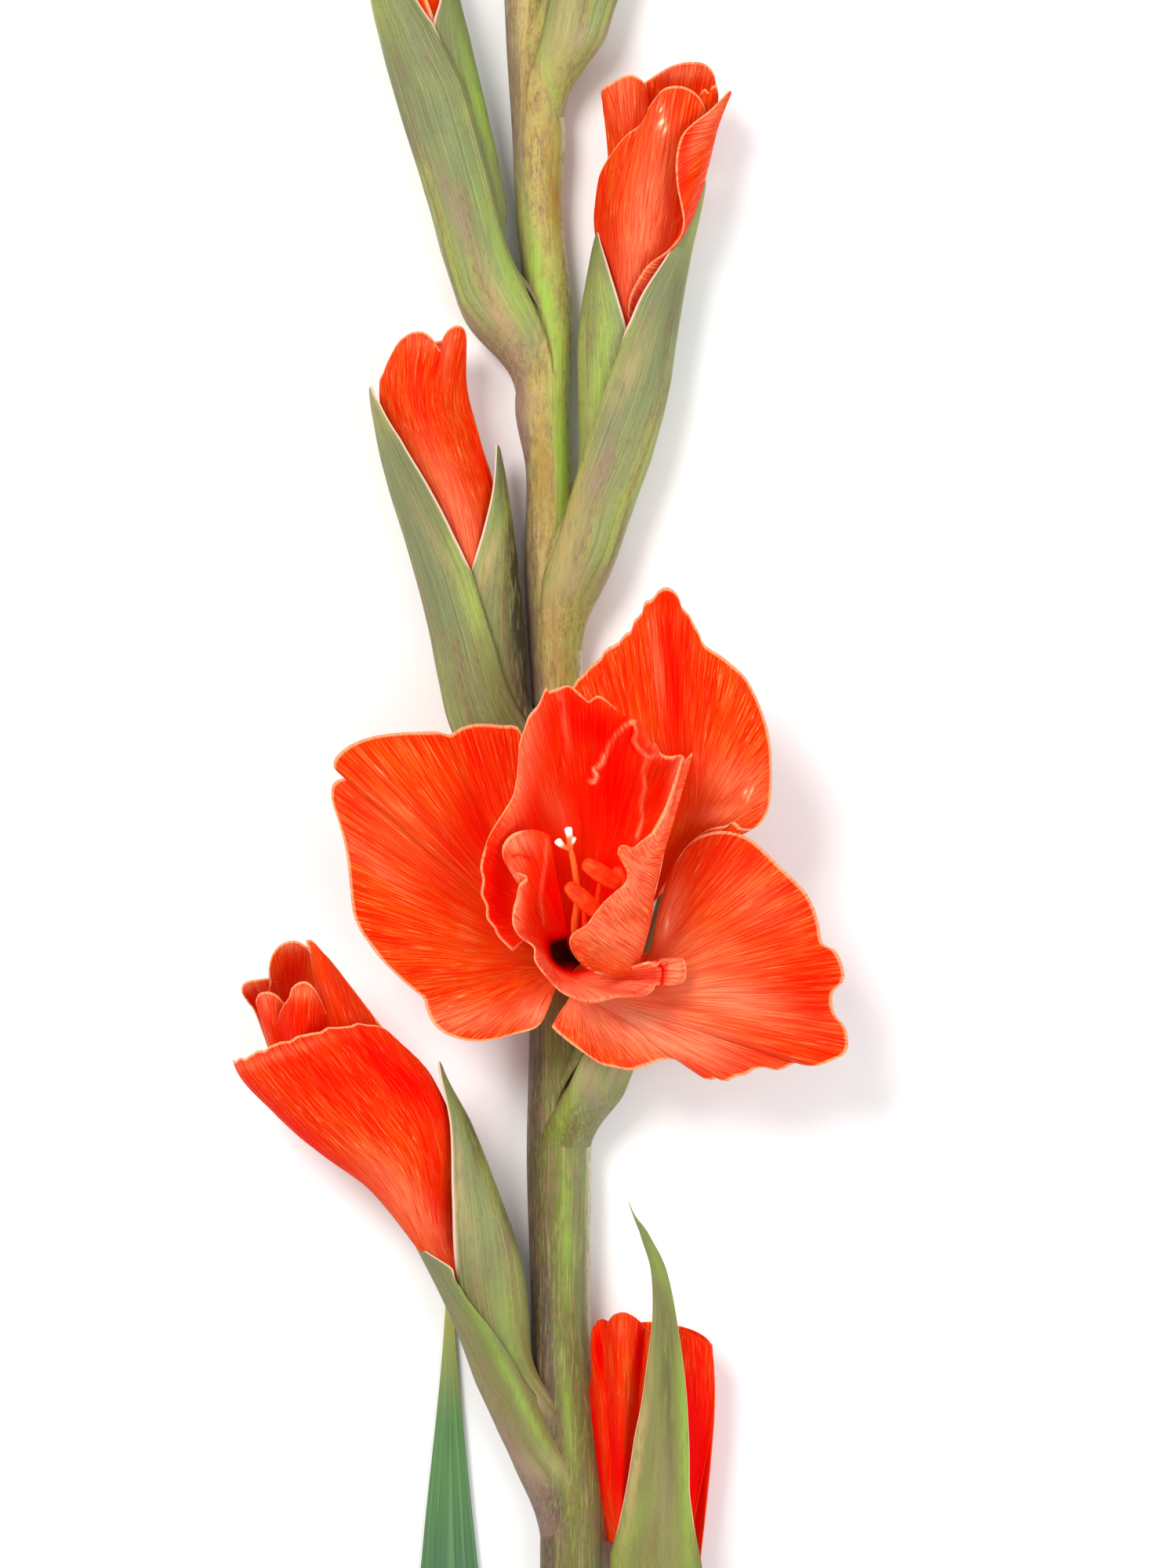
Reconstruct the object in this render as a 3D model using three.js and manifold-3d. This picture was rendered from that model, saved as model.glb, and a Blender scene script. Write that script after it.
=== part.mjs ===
// One cut gladiolus stem lying on its back: +Y runs to the tip of the spike, +Z faces up from the table.
// Outlines are written in drawing units [across, down] and heights above the table in mm.
import * as THREE from "three";
import Module from "manifold-3d";

// Driving sizes
const MM_PER_UNIT = 0.15;
const DRAWING_ORIGIN = [715, 1000];
const SHEET = 0.7;
const GAP = 0.35;
const INNER_SHARE = 0.95;
const PETAL = 0.7;
const STEM_SIDES = 12;
const SHEATH_LIFT = 1.9;
const SMALLEST_STEP = 0.02;

// Colours and surfaces
const LOOKS = {
  stem: [0x8c8a4e, 0.55],
  leaf: [0x4f8a4a, 0.5],
  bract: [0x869a58, 0.5],
  youngBract: [0x93a85a, 0.5],
  petal: [0xf04a26, 0.45],
  deepPetal: [0xf02a12, 0.45],
  anther: [0xe2431c, 0.6],
  style: [0xf0793a, 0.5],
};

const group = new THREE.Group();
group.name = "gladiolus";

const clamp = (value, low, high) => Math.min(high, Math.max(low, value));
const mix = (a, b, t) => a + (b - a) * t;
const ease = (t) => t * t * (3 - 2 * t);
const toX = (across) => (across - DRAWING_ORIGIN[0]) * MM_PER_UNIT;
const toY = (down) => (DRAWING_ORIGIN[1] - down) * MM_PER_UNIT;
const at = (p) => [toX(p[0]), toY(p[1]), p[2]];

// Smooth curve through a list of points, t from 0 to 1 by index
function curve(points, t) {
  const last = points.length - 1;
  const place = clamp(t, 0, 1) * last;
  const i = Math.min(last - 1, Math.floor(place));
  const f = place - i;
  const p = points[i];
  const q = points[i + 1];
  const before = points[Math.max(0, i - 1)];
  const after = points[Math.min(last, i + 2)];
  return p.map((value, k) => {
    const m0 = (q[k] - before[k]) / 2;
    const m1 = (after[k] - value) / 2;
    const f2 = f * f;
    const f3 = f2 * f;
    return (2 * f3 - 3 * f2 + 1) * value + (f3 - 2 * f2 + f) * m0
      + (3 * f2 - 2 * f3) * q[k] + (f3 - f2) * m1;
  });
}

// Smooth lookup in rows that start with a falling or rising key
function lookup(rows, key) {
  const rising = rows[rows.length - 1][0] > rows[0][0];
  let i = 0;
  while (i < rows.length - 2 && (rising ? key > rows[i + 1][0] : key < rows[i + 1][0])) i += 1;
  const f = clamp((key - rows[i][0]) / (rows[i + 1][0] - rows[i][0]), 0, 1);
  return curve(rows, (i + f) / (rows.length - 1)).slice(1);
}

// Closed mesh with its faces turned outward
function solid(points, faces) {
  let volume = 0;
  for (const [a, b, c] of faces) {
    const [p, q, r] = [points[a], points[b], points[c]];
    volume += p[0] * (q[1] * r[2] - q[2] * r[1]) + p[1] * (q[2] * r[0] - q[0] * r[2])
      + p[2] * (q[0] * r[1] - q[1] * r[0]);
  }
  const turned = volume < 0 ? faces.map(([a, b, c]) => [a, c, b]) : faces;
  const geometry = new THREE.BufferGeometry();
  geometry.setAttribute("position", new THREE.Float32BufferAttribute(points.flat(), 3));
  geometry.setIndex(turned.flat());
  return geometry;
}

// Solid through closed rings of equal count, with flat ends
function loft(rings) {
  const points = rings.flat();
  const faces = [];
  const count = rings[0].length;
  for (let i = 0; i + 1 < rings.length; i += 1) {
    for (let j = 0; j < count; j += 1) {
      const a = i * count + j;
      const b = i * count + ((j + 1) % count);
      faces.push([a, b, b + count], [a, b + count, a + count]);
    }
  }
  const end = (rings.length - 1) * count;
  for (let j = 1; j + 1 < count; j += 1) {
    faces.push([0, j + 1, j], [end, end + j, end + j + 1]);
  }
  return solid(points, faces);
}

// Grid of points over u and v, each from 0 to 1
function grid(rows, columns, surface) {
  const lines = [];
  for (let i = 0; i <= rows; i += 1) {
    const line = [];
    for (let j = 0; j <= columns; j += 1) line.push(surface(i / rows, j / columns));
    lines.push(line);
  }
  return lines;
}

// Sheet of even thickness over grids that may share points
function thicken(grids, thickness) {
  const points = [];
  const faces = [];
  const known = new Map();
  const index = (p) => {
    const key = p.map((value) => Math.round(value * 1e4)).join();
    if (!known.has(key)) {
      known.set(key, points.length);
      points.push(p);
    }
    return known.get(key);
  };
  for (const lines of grids) {
    for (let i = 0; i + 1 < lines.length; i += 1) {
      for (let j = 0; j + 1 < lines[i].length; j += 1) {
        const a = index(lines[i][j]);
        const b = index(lines[i][j + 1]);
        const c = index(lines[i + 1][j + 1]);
        const d = index(lines[i + 1][j]);
        faces.push([a, b, c], [a, c, d]);
      }
    }
  }
  const normals = points.map(() => new THREE.Vector3());
  const open = new Map();
  for (const face of faces) {
    const [p, q, r] = face.map((k) => new THREE.Vector3(...points[k]));
    const normal = q.sub(p).cross(r.sub(p));
    face.forEach((k, i) => {
      normals[k].add(normal);
      const next = face[(i + 1) % 3];
      const back = `${next},${k}`;
      if (open.has(back)) open.delete(back);
      else open.set(`${k},${next}`, [k, next]);
    });
  }
  const half = thickness / 2;
  const side = (way) => points.map((p, k) => {
    const n = normals[k].clone().normalize();
    return [p[0] + way * half * n.x, p[1] + way * half * n.y, p[2] + way * half * n.z];
  });
  const count = points.length;
  const closed = faces.flatMap(([a, b, c]) => [[a, b, c], [a + count, c + count, b + count]]);
  for (const [a, b] of open.values()) {
    closed.push([b, a, a + count], [b, a + count, b + count]);
  }
  return solid([...side(1), ...side(-1)], closed);
}

const wasm = await Module();
wasm.setup();

function toManifold(geometry) {
  const vertProperties = new Float32Array(geometry.attributes.position.array);
  const triVerts = new Uint32Array(geometry.index.array);
  return new wasm.Manifold(new wasm.Mesh({ numProp: 3, vertProperties, triVerts }));
}

function fromManifold(body) {
  const mesh = body.getMesh();
  const geometry = new THREE.BufferGeometry();
  geometry.setAttribute("position", new THREE.BufferAttribute(mesh.vertProperties, 3));
  geometry.setIndex(new THREE.BufferAttribute(mesh.triVerts, 1));
  return geometry;
}

// What is left of a piece outside another, its largest body only
function cutAway(geometry, tool) {
  const pieces = toManifold(geometry).subtract(tool).simplify(SMALLEST_STEP).decompose();
  pieces.sort((a, b) => b.volume() - a.volume());
  return fromManifold(pieces[0]);
}

// A sheet together with the clearance that its neighbours keep from it
function roomOf(sheet) {
  return toManifold(thicken([sheet], SHEET)).add(toManifold(thicken([sheet], SHEET + 2 * GAP)));
}

function add(name, geometry, look) {
  const [color, roughness] = LOOKS[look];
  const material = new THREE.MeshStandardMaterial({ color, roughness, metalness: 0 });
  const mesh = new THREE.Mesh(geometry, material);
  mesh.name = name;
  group.add(mesh);
}

// Stem: [down, centre, half width], from the tip of the spike to the cut end
const STEM = [
  [-1215, 676, 6], [-1100, 677, 10], [-840, 674, 15], [-520, 671, 20], [-250, 676, 24],
  [-80, 668, 26], [60, 676, 30], [166, 687, 34], [265, 688, 30], [415, 700, 31],
  [520, 692, 35], [602, 701, 30], [713, 700, 31], [824, 708, 34], [898, 711, 32],
  [1085, 713, 36], [1340, 713, 38], [1479, 713, 41], [1656, 715, 38], [1740, 718, 40],
  [1866, 731, 42], [1990, 732, 43], [2150, 731, 41], [2320, 722, 44], [2600, 716, 42],
  [3100, 712, 43], [3700, 716, 45], [4300, 722, 46], [4650, 726, 47],
];
const STEM_ROWS = 46;

function stemAt(down) {
  const [centre, halfWidth] = lookup(STEM, down);
  const radius = halfWidth * MM_PER_UNIT;
  const lift = SHEATH_LIFT * ease(clamp((down - 2250) / 300, 0, 1));
  return { x: toX(centre), radius, z: radius * Math.cos(Math.PI / STEM_SIDES) + lift };
}

function stemSolid(extra) {
  const rings = [];
  const first = STEM[0][0];
  const last = STEM[STEM.length - 1][0];
  for (let i = 0; i <= STEM_ROWS; i += 1) {
    const down = mix(first, last, i / STEM_ROWS);
    const { x, radius, z } = stemAt(down);
    const ring = [];
    for (let j = 0; j < STEM_SIDES; j += 1) {
      const angle = ((j + 0.5) / STEM_SIDES) * 2 * Math.PI - Math.PI / 2;
      ring.push([x + (radius + extra) * Math.cos(angle), toY(down), z + (radius + extra) * Math.sin(angle)]);
    }
    rings.push(ring);
  }
  return loft(rings);
}

add("stem", stemSolid(0), "stem");
const stemRoom = toManifold(stemSolid(GAP));

// Florets: sections are [down, left, right, height of middle, depth share], from the node up.
// A margin is the line [down, across] of a bract's front edge, from its tip down to the node.
const FLORETS = {
  floret_0: {
    side: 1,
    sections: [
      [2310, 678, 766, 7.3, 1], [2240, 706, 800, 9, 0.95], [2120, 762, 872, 10.5, 0.85],
      [2000, 776, 896, 11, 0.8], [1911, 768, 908, 11.5, 0.75], [1812, 752, 915, 12, 0.75],
      [1696, 752, 906, 12.5, 0.75], [1600, 762, 880, 13.5, 0.8], [1516, 770, 840, 15, 0.85],
    ],
    outer: {
      tip: 1516,
      margin: [[1516, 800], [1563, 814], [1613, 829], [1692, 829], [1745, 822], [1812, 812],
        [1895, 796], [1977, 778], [2120, 745], [2300, 690]],
      back: [[1516, 86], [1546, 74], [1613, 65], [1696, 62], [1762, 59], [1845, 57], [1911, 53],
        [1980, 30], [2050, -30], [2120, -80], [2200, -120], [2300, -140]],
    },
    inner: { tip: 1790, margin: [[1790, 754], [1850, 757], [1950, 770], [2050, 790], [2240, 800]] },
  },
  floret_1: {
    side: -1,
    sections: [
      [1990, 684, 780, 6.6, 1], [1924, 674, 752, 8.5, 0.95], [1873, 660, 716, 9.5, 0.95],
      [1822, 637, 696, 10, 0.9], [1761, 609, 686, 10.5, 0.85], [1684, 580, 684, 11, 0.8],
      [1603, 541, 674, 12, 0.75], [1518, 494, 646, 13.5, 0.75], [1430, 440, 612, 15, 0.75],
      [1352, 400, 574, 17, 0.75],
    ],
    outer: {
      tip: 1500,
      margin: [[1500, 484], [1540, 513], [1580, 545], [1615, 574], [1700, 609], [1755, 642], [1800, 668],
        [1839, 690], [1876, 711], [1902, 730], [1990, 742]],
    },
    inner: {
      tip: 1352,
      margin: [[1352, 572], [1430, 583], [1520, 579], [1615, 577], [1700, 596], [1800, 640], [1900, 690]],
    },
  },
  floret_2: {
    side: 1,
    sections: [
      [1482, 667, 759, 6.5, 1], [1445, 686, 772, 8, 0.95], [1400, 706, 792, 9, 0.9],
      [1350, 722, 812, 9.5, 0.85], [1280, 738, 836, 9.5, 0.8], [1180, 750, 856, 9.5, 0.75],
      [1080, 762, 868, 9.5, 0.75], [980, 782, 874, 10, 0.75],
    ],
    outer: {
      tip: 980,
      margin: [[980, 870], [1060, 858], [1160, 835], [1260, 802], [1310, 780], [1343, 744],
        [1420, 712], [1482, 690]],
    },
    inner: { tip: 1090, margin: [[1090, 764], [1160, 764], [1240, 754], [1300, 744], [1440, 735]] },
  },
  floret_3: {
    side: -1,
    sections: [
      [1095, 673, 754, 6.2, 1], [1050, 652, 738, 7.5, 0.95], [990, 610, 702, 8.5, 0.9],
      [927, 576, 682, 9, 0.85], [861, 560, 680, 9.3, 0.8], [787, 545, 676, 9.6, 0.75],
      [694, 520, 667, 9.8, 0.72], [609, 494, 655, 10, 0.72], [539, 479, 641, 10.5, 0.72],
      [495, 473, 630, 11, 0.72],
    ],
    outer: {
      tip: 495,
      margin: [[495, 475], [517, 486], [565, 514], [628, 551], [687, 581], [732, 603],
        [820, 630], [920, 660], [1020, 700], [1095, 728]],
    },
    inner: {
      tip: 569,
      margin: [[569, 644], [628, 637], [680, 621], [730, 602], [800, 590], [900, 600], [1040, 668]],
    },
  },
  floret_4: {
    side: 1,
    sections: [
      [862, 669, 748, 6.2, 1], [812, 682, 752, 7.5, 0.95], [765, 694, 764, 8.5, 0.92],
      [710, 712, 786, 9, 0.9], [657, 722, 804, 9.3, 0.85], [587, 730, 829, 9.6, 0.8],
      [502, 729, 851, 9.8, 0.75], [431, 729, 862, 10, 0.72], [332, 744, 879, 10.5, 0.72],
      [232, 766, 899, 11.5, 0.72],
    ],
    outer: {
      tip: 232,
      margin: [[232, 897], [285, 876], [330, 850], [380, 818], [425, 797], [521, 765],
        [587, 743], [646, 725], [765, 704], [862, 700]],
    },
    inner: {
      tip: 299,
      margin: [[299, 753], [340, 768], [380, 784], [425, 800], [500, 806], [600, 786], [790, 720]],
    },
  },
  floret_5: {
    side: -1,
    sections: [
      [526, 652, 732, 5.9, 1], [490, 632, 718, 7, 0.95], [440, 606, 700, 8, 0.9],
      [390, 586, 684, 8.5, 0.85], [325, 565, 664, 8.8, 0.8], [249, 544, 652, 9, 0.78],
      [149, 513, 631, 9, 0.75], [50, 486, 608, 9.2, 0.75], [-20, 471, 590, 9.6, 0.75],
      [-80, 461, 572, 10, 0.75],
    ],
    outer: {
      tip: -80,
      margin: [[-80, 463], [-40, 490], [0, 528], [36, 554], [116, 593], [220, 622], [330, 648],
        [430, 670], [526, 706]],
    },
    inner: {
      tip: -62,
      margin: [[-62, 582], [-20, 574], [10, 566], [36, 556], [120, 560], [260, 590], [470, 668]],
    },
  },
  floret_6: {
    side: 1,
    sections: [
      [176, 648, 728, 5.7, 1], [139, 660, 740, 7, 0.95], [99, 674, 754, 7.8, 0.9],
      [50, 686, 772, 8.2, 0.85], [0, 694, 788, 8.6, 0.8], [-100, 710, 818, 8.8, 0.76],
      [-200, 728, 836, 9, 0.74], [-280, 742, 844, 9.4, 0.74], [-330, 750, 846, 9.8, 0.74],
    ],
    outer: {
      tip: -330,
      margin: [[-330, 844], [-280, 822], [-220, 800], [-160, 784], [-60, 752], [50, 706],
        [130, 690], [176, 684]],
    },
    inner: {
      tip: -285,
      margin: [[-285, 745], [-240, 762], [-200, 776], [-150, 790], [-60, 790], [110, 716]],
    },
  },
};

// Closed young florets toward the tip: [node, length, half width, lean]
const YOUNG = [
  [-96, 465, 56, 0.23], [-310, 430, 51, 0.21], [-500, 385, 46, 0.19], [-665, 340, 40, 0.17],
  [-815, 295, 34, 0.15], [-945, 250, 29, 0.13], [-1055, 205, 24, 0.12], [-1165, 165, 18, 0.02],
];

function youngFloret(order, [node, length, halfWidth, lean]) {
  const side = order % 2 === 0 ? -1 : 1;
  const [centre, stemHalf] = lookup(STEM, node);
  const stemHeight = stemAt(node).z;
  const sections = [[node, centre - stemHalf - 5, centre + stemHalf + 5, stemHeight, 1]];
  const swell = [[0, 0.62], [0.12, 0.74], [0.3, 0.9], [0.5, 1], [0.75, 0.92], [1, 0.66]];
  for (const share of [0.1, 0.22, 0.4, 0.6, 0.8, 1]) {
    const width = halfWidth * lookup(swell, share)[0];
    const apart = (halfWidth - 10) * clamp(lean * 10, 0, 1);
    const out = share * length * lean + apart * ease(clamp(share * 3, 0, 1));
    const middle = centre + side * out;
    const height = Math.max(width * MM_PER_UNIT * 0.78 + 0.8, stemHeight + 1.5);
    sections.push([node - share * length, middle - width, middle + width, height, 0.82]);
  }
  const edge = (share, across) => {
    const down = node - share * length;
    const [left, right] = lookup(sections, down);
    return [down, (left + right) / 2 + side * across * ((right - left) / 2)];
  };
  return {
    side,
    sections,
    outer: {
      tip: node - length,
      margin: [edge(1, 0.97), edge(0.9, 0.5), edge(0.8, 0.1), edge(0.6, -0.3), edge(0.35, -0.55),
        edge(0.12, -0.6), edge(0, -0.2)],
    },
    inner: {
      tip: node - length * 0.9,
      margin: [edge(0.9, -0.95), edge(0.82, -0.4), edge(0.7, 0.1), edge(0.5, 0.2), edge(0.3, 0.2)],
    },
  };
}

YOUNG.forEach((numbers, order) => {
  FLORETS[`floret_${order + 7}`] = youngFloret(order, numbers);
});

// Bract: a leafy sheath round its floret, from the node to its own tip
function bract(floret, which, rows, columns) {
  const outer = which === "outer";
  const { tip, margin, back } = floret[which];
  const side = outer ? floret.side : -floret.side;
  const inset = outer ? 0 : SHEET + GAP;
  const foot = margin[margin.length - 1][0];
  return grid(rows, columns, (u, v) => {
    const down = mix(foot, tip, 1 - (1 - u) ** 1.15);
    const [left, right, middle, depth] = lookup(floret.sections, down);
    const centre = (left + right) / 2;
    const half = (right - left) / 2;
    const angleOf = (across) => Math.acos(clamp((across - centre) / (side * half), -0.96, 0.998));
    const front = angleOf(lookup(margin, down)[0]);
    const rear = back ? THREE.MathUtils.degToRad(lookup(back, down)[0]) : -front;
    const angle = mix(rear, front, v);
    const radius = half * MM_PER_UNIT * (outer ? 1 : INNER_SHARE);
    const height = middle + (radius * depth - inset) * Math.sin(angle);
    const x = toX(centre) + side * (radius - inset) * Math.cos(angle);
    return [x, toY(down), Math.max(height, SHEET / 2)];
  });
}

// A petal wrap rolled round the bud's own line: rim gives its reach for each angle, free its front edge
function roll(bud, layer, rows, columns) {
  const [ax, ay] = bud.direction;
  const { from, rim, turn, free, inset = 0, pitch = 0, wave = 0 } = layer;
  return grid(rows, columns, (u, v) => {
    const start = free ? lookup(free, u)[0] : 0;
    const angle = start + v * turn;
    const around = ((angle % (2 * Math.PI)) + 2 * Math.PI) % (2 * Math.PI);
    const reach = lookup(rim, around / (2 * Math.PI))[0];
    const along = mix(from, reach, u);
    const [middle, half, height, depth] = lookup(bud.sections, along);
    const flare = 1 + wave * u ** 4 * Math.sin(angle * 5);
    const radius = half * MM_PER_UNIT;
    const tuck = inset + pitch * v;
    const across = middle + ((radius - tuck) * flare * Math.cos(angle)) / MM_PER_UNIT;
    const place = [
      bud.origin[0] + along * ax - across * ay,
      bud.origin[1] + along * ay + across * ax,
    ];
    const up = height + (radius * depth - tuck) * flare * Math.sin(angle);
    return [toX(place[0]), toY(place[1]), Math.max(up, PETAL / 2)];
  });
}

// Buds: sections are [reach, middle, half width, height of middle, depth share] along the bud's line.
// Angles go from the right edge (0) over the front (a quarter turn) to the left edge (half a turn).
const UP = [0, -1];
const BUDS = {
  floret_0: {
    origin: [0, 0],
    direction: UP,
    sections: [
      [-2060, 834, 34, 11, 0.75], [-1980, 834, 46, 12, 0.72], [-1920, 834, 58, 12.5, 0.7],
      [-1850, 831, 68, 13, 0.68], [-1750, 830, 70, 14, 0.66], [-1690, 828, 60, 15, 0.7],
      [-1650, 828, 46, 16, 0.75],
    ],
    layers: {
      outer_petals: {
        from: -2030, turn: 7.2, pitch: 1.4, wave: 0.03, inset: 0.3,
        rim: [[0, -1716], [0.12, -1700], [0.25, -1664], [0.36, -1668], [0.44, -1672], [0.5, -1690],
          [0.7, -1680], [0.85, -1690], [1, -1716]],
        free: [[0, 2.1], [1, 1.3]],
      },
    },
  },
  floret_1: {
    origin: [585, 1634],
    direction: [-0.51, -0.86],
    sections: [
      [-20, 0, 13, 13, 0.8], [20, 1, 20, 13.4, 0.8], [62, 3, 29, 14, 0.8],
      [161, 26, 66, 16, 0.7], [241, 17, 90, 18.5, 0.62], [300, 4, 96, 21, 0.6],
      [383, -6, 99, 24, 0.6], [480, 8, 70, 27, 0.7],
    ],
    layers: {
      outer_petals: {
        from: -10, turn: 7.6, pitch: 1.6, wave: 0.015,
        rim: [[0, 225], [0.06, 265], [0.12, 322], [0.2, 352], [0.3, 366], [0.4, 378], [0.48, 386],
          [0.56, 380], [0.7, 350], [0.85, 300], [1, 225]],
        free: [[0, 5.2], [1, 5.0]],
      },
      inner_petals: {
        from: 60, turn: 6.9, pitch: 1.5, wave: 0.05, inset: 3.6,
        rim: [[0, 385], [0.1, 452], [0.17, 486], [0.24, 462], [0.3, 490], [0.36, 455], [0.44, 476],
          [0.52, 440], [0.7, 470], [0.85, 430], [1, 385]],
        free: [[0, 0.9], [1, 1.7]],
      },
    },
  },
  floret_3: {
    origin: [0, 0],
    direction: UP,
    sections: [
      [-800, 612, 30, 9.4, 0.78], [-740, 604, 40, 9.6, 0.76], [-690, 594, 52, 9.8, 0.75],
      [-620, 574, 60, 10, 0.74], [-558, 554, 57, 10.3, 0.74],
      [-502, 545, 54, 10.6, 0.74], [-440, 542, 50, 11, 0.76], [-410, 542, 46, 11.2, 0.76],
    ],
    layers: {
      outer_petals: {
        from: -790, turn: 7.4, pitch: 1.7, wave: 0.02,
        rim: [[0, -458], [0.08, -428], [0.16, -416], [0.24, -444], [0.3, -428], [0.38, -432],
          [0.46, -470], [0.55, -488], [0.75, -450], [0.9, -440], [1, -458]],
        free: [[0, 1.0], [1, 1.62]],
      },
    },
  },
  floret_4: {
    origin: [0, 0],
    direction: UP,
    sections: [
      [-510, 792, 24, 9.8, 0.78], [-460, 796, 33, 10, 0.76], [-400, 803, 43, 10.4, 0.74],
      [-332, 815, 51, 11, 0.72], [-260, 823, 59, 12, 0.7],
      [-180, 842, 68, 13, 0.68], [-120, 850, 76, 14.5, 0.66], [-80, 850, 76, 15.5, 0.66],
    ],
    layers: {
      outer_petals: {
        from: -500, turn: 7.3, pitch: 1.5, wave: 0.02,
        rim: [[0, -128], [0.08, -118], [0.16, -120], [0.24, -128], [0.34, -160], [0.44, -196],
          [0.5, -206], [0.6, -180], [0.75, -130], [0.9, -120], [1, -128]],
        free: [[0, 1.5], [0.6, 1.0], [1, 0.62]],
      },
      inner_petals: {
        from: -340, turn: 7.0, pitch: 1.4, wave: 0.05, inset: 2.6,
        rim: [[0, -92], [0.1, -86], [0.2, -96], [0.3, -110], [0.38, -98], [0.46, -116], [0.6, -100],
          [0.8, -92], [1, -92]],
        free: [[0, 1.2], [1, 2.1]],
      },
    },
  },
  floret_5: {
    origin: [0, 0],
    direction: UP,
    sections: [
      [-130, 571, 26, 9, 0.8], [-80, 558, 34, 9.2, 0.8], [-30, 546, 38, 9.4, 0.8], [20, 536, 36, 9.8, 0.8],
      [90, 522, 26, 10.2, 0.85],
    ],
    layers: {
      outer_petals: {
        from: -120, turn: 7.4, pitch: 1.5, wave: 0.03,
        rim: [[0, 66], [0.15, 84], [0.25, 70], [0.35, 88], [0.5, 60], [0.75, 80], [1, 66]],
        free: [[0, 1.0], [1, 1.7]],
      },
    },
  },
};

// Open floret: its tube, then petals that fan from the throat through a neck line to their margin
const TUBE = [
  [766, 1405, 10, 2.2], [770, 1350, 11, 2.3], [767, 1300, 14.5, 2.8], [754, 1254, 19.5, 4.2],
  [740, 1218, 26, 6.2],
];

function tubeRing(share, angle, inset) {
  const p = curve(TUBE, share);
  const before = new THREE.Vector3(...at(curve(TUBE, share - 0.02)));
  const after = new THREE.Vector3(...at(curve(TUBE, share + 0.02)));
  if (share > 0.99) after.set(...at(p));
  const ahead = after.sub(before).normalize();
  const across = new THREE.Vector3(1, 0, 0);
  const up = ahead.clone().cross(across).normalize();
  across.copy(up).cross(ahead);
  const radius = p[3] - inset;
  const middle = at(p);
  return middle.map((value, k) => value
    + radius * (Math.cos(angle) * across.getComponent(k) + Math.sin(angle) * up.getComponent(k)));
}

// Petal from its claw in the throat (angles in degrees) over its neck to its margin
function petal(shape, rows, columns) {
  const { claw, inset, depth = 0.9, neck, margin, bow = 0, ruffle = 0 } = shape;
  return grid(rows, columns, (u, v) => {
    const angle = (mix(claw[0], claw[1], v) * Math.PI) / 180;
    const claws = [depth, 1].filter((share, k) => k === 1 || share < 1)
      .map((share) => tubeRing(share, angle, inset));
    const bend = at(curve(neck, v));
    const edge = at(curve(margin, v));
    const middle = bend.map((value, k) => mix(value, edge[k], 0.5));
    middle[2] += bow * Math.sin(Math.PI * clamp(v, 0, 1));
    const p = curve([...claws, bend, middle, edge], u);
    p[2] += ruffle * u ** 6 * Math.sin(v * 46) * Math.sin(Math.PI * v);
    return p;
  });
}

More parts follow.
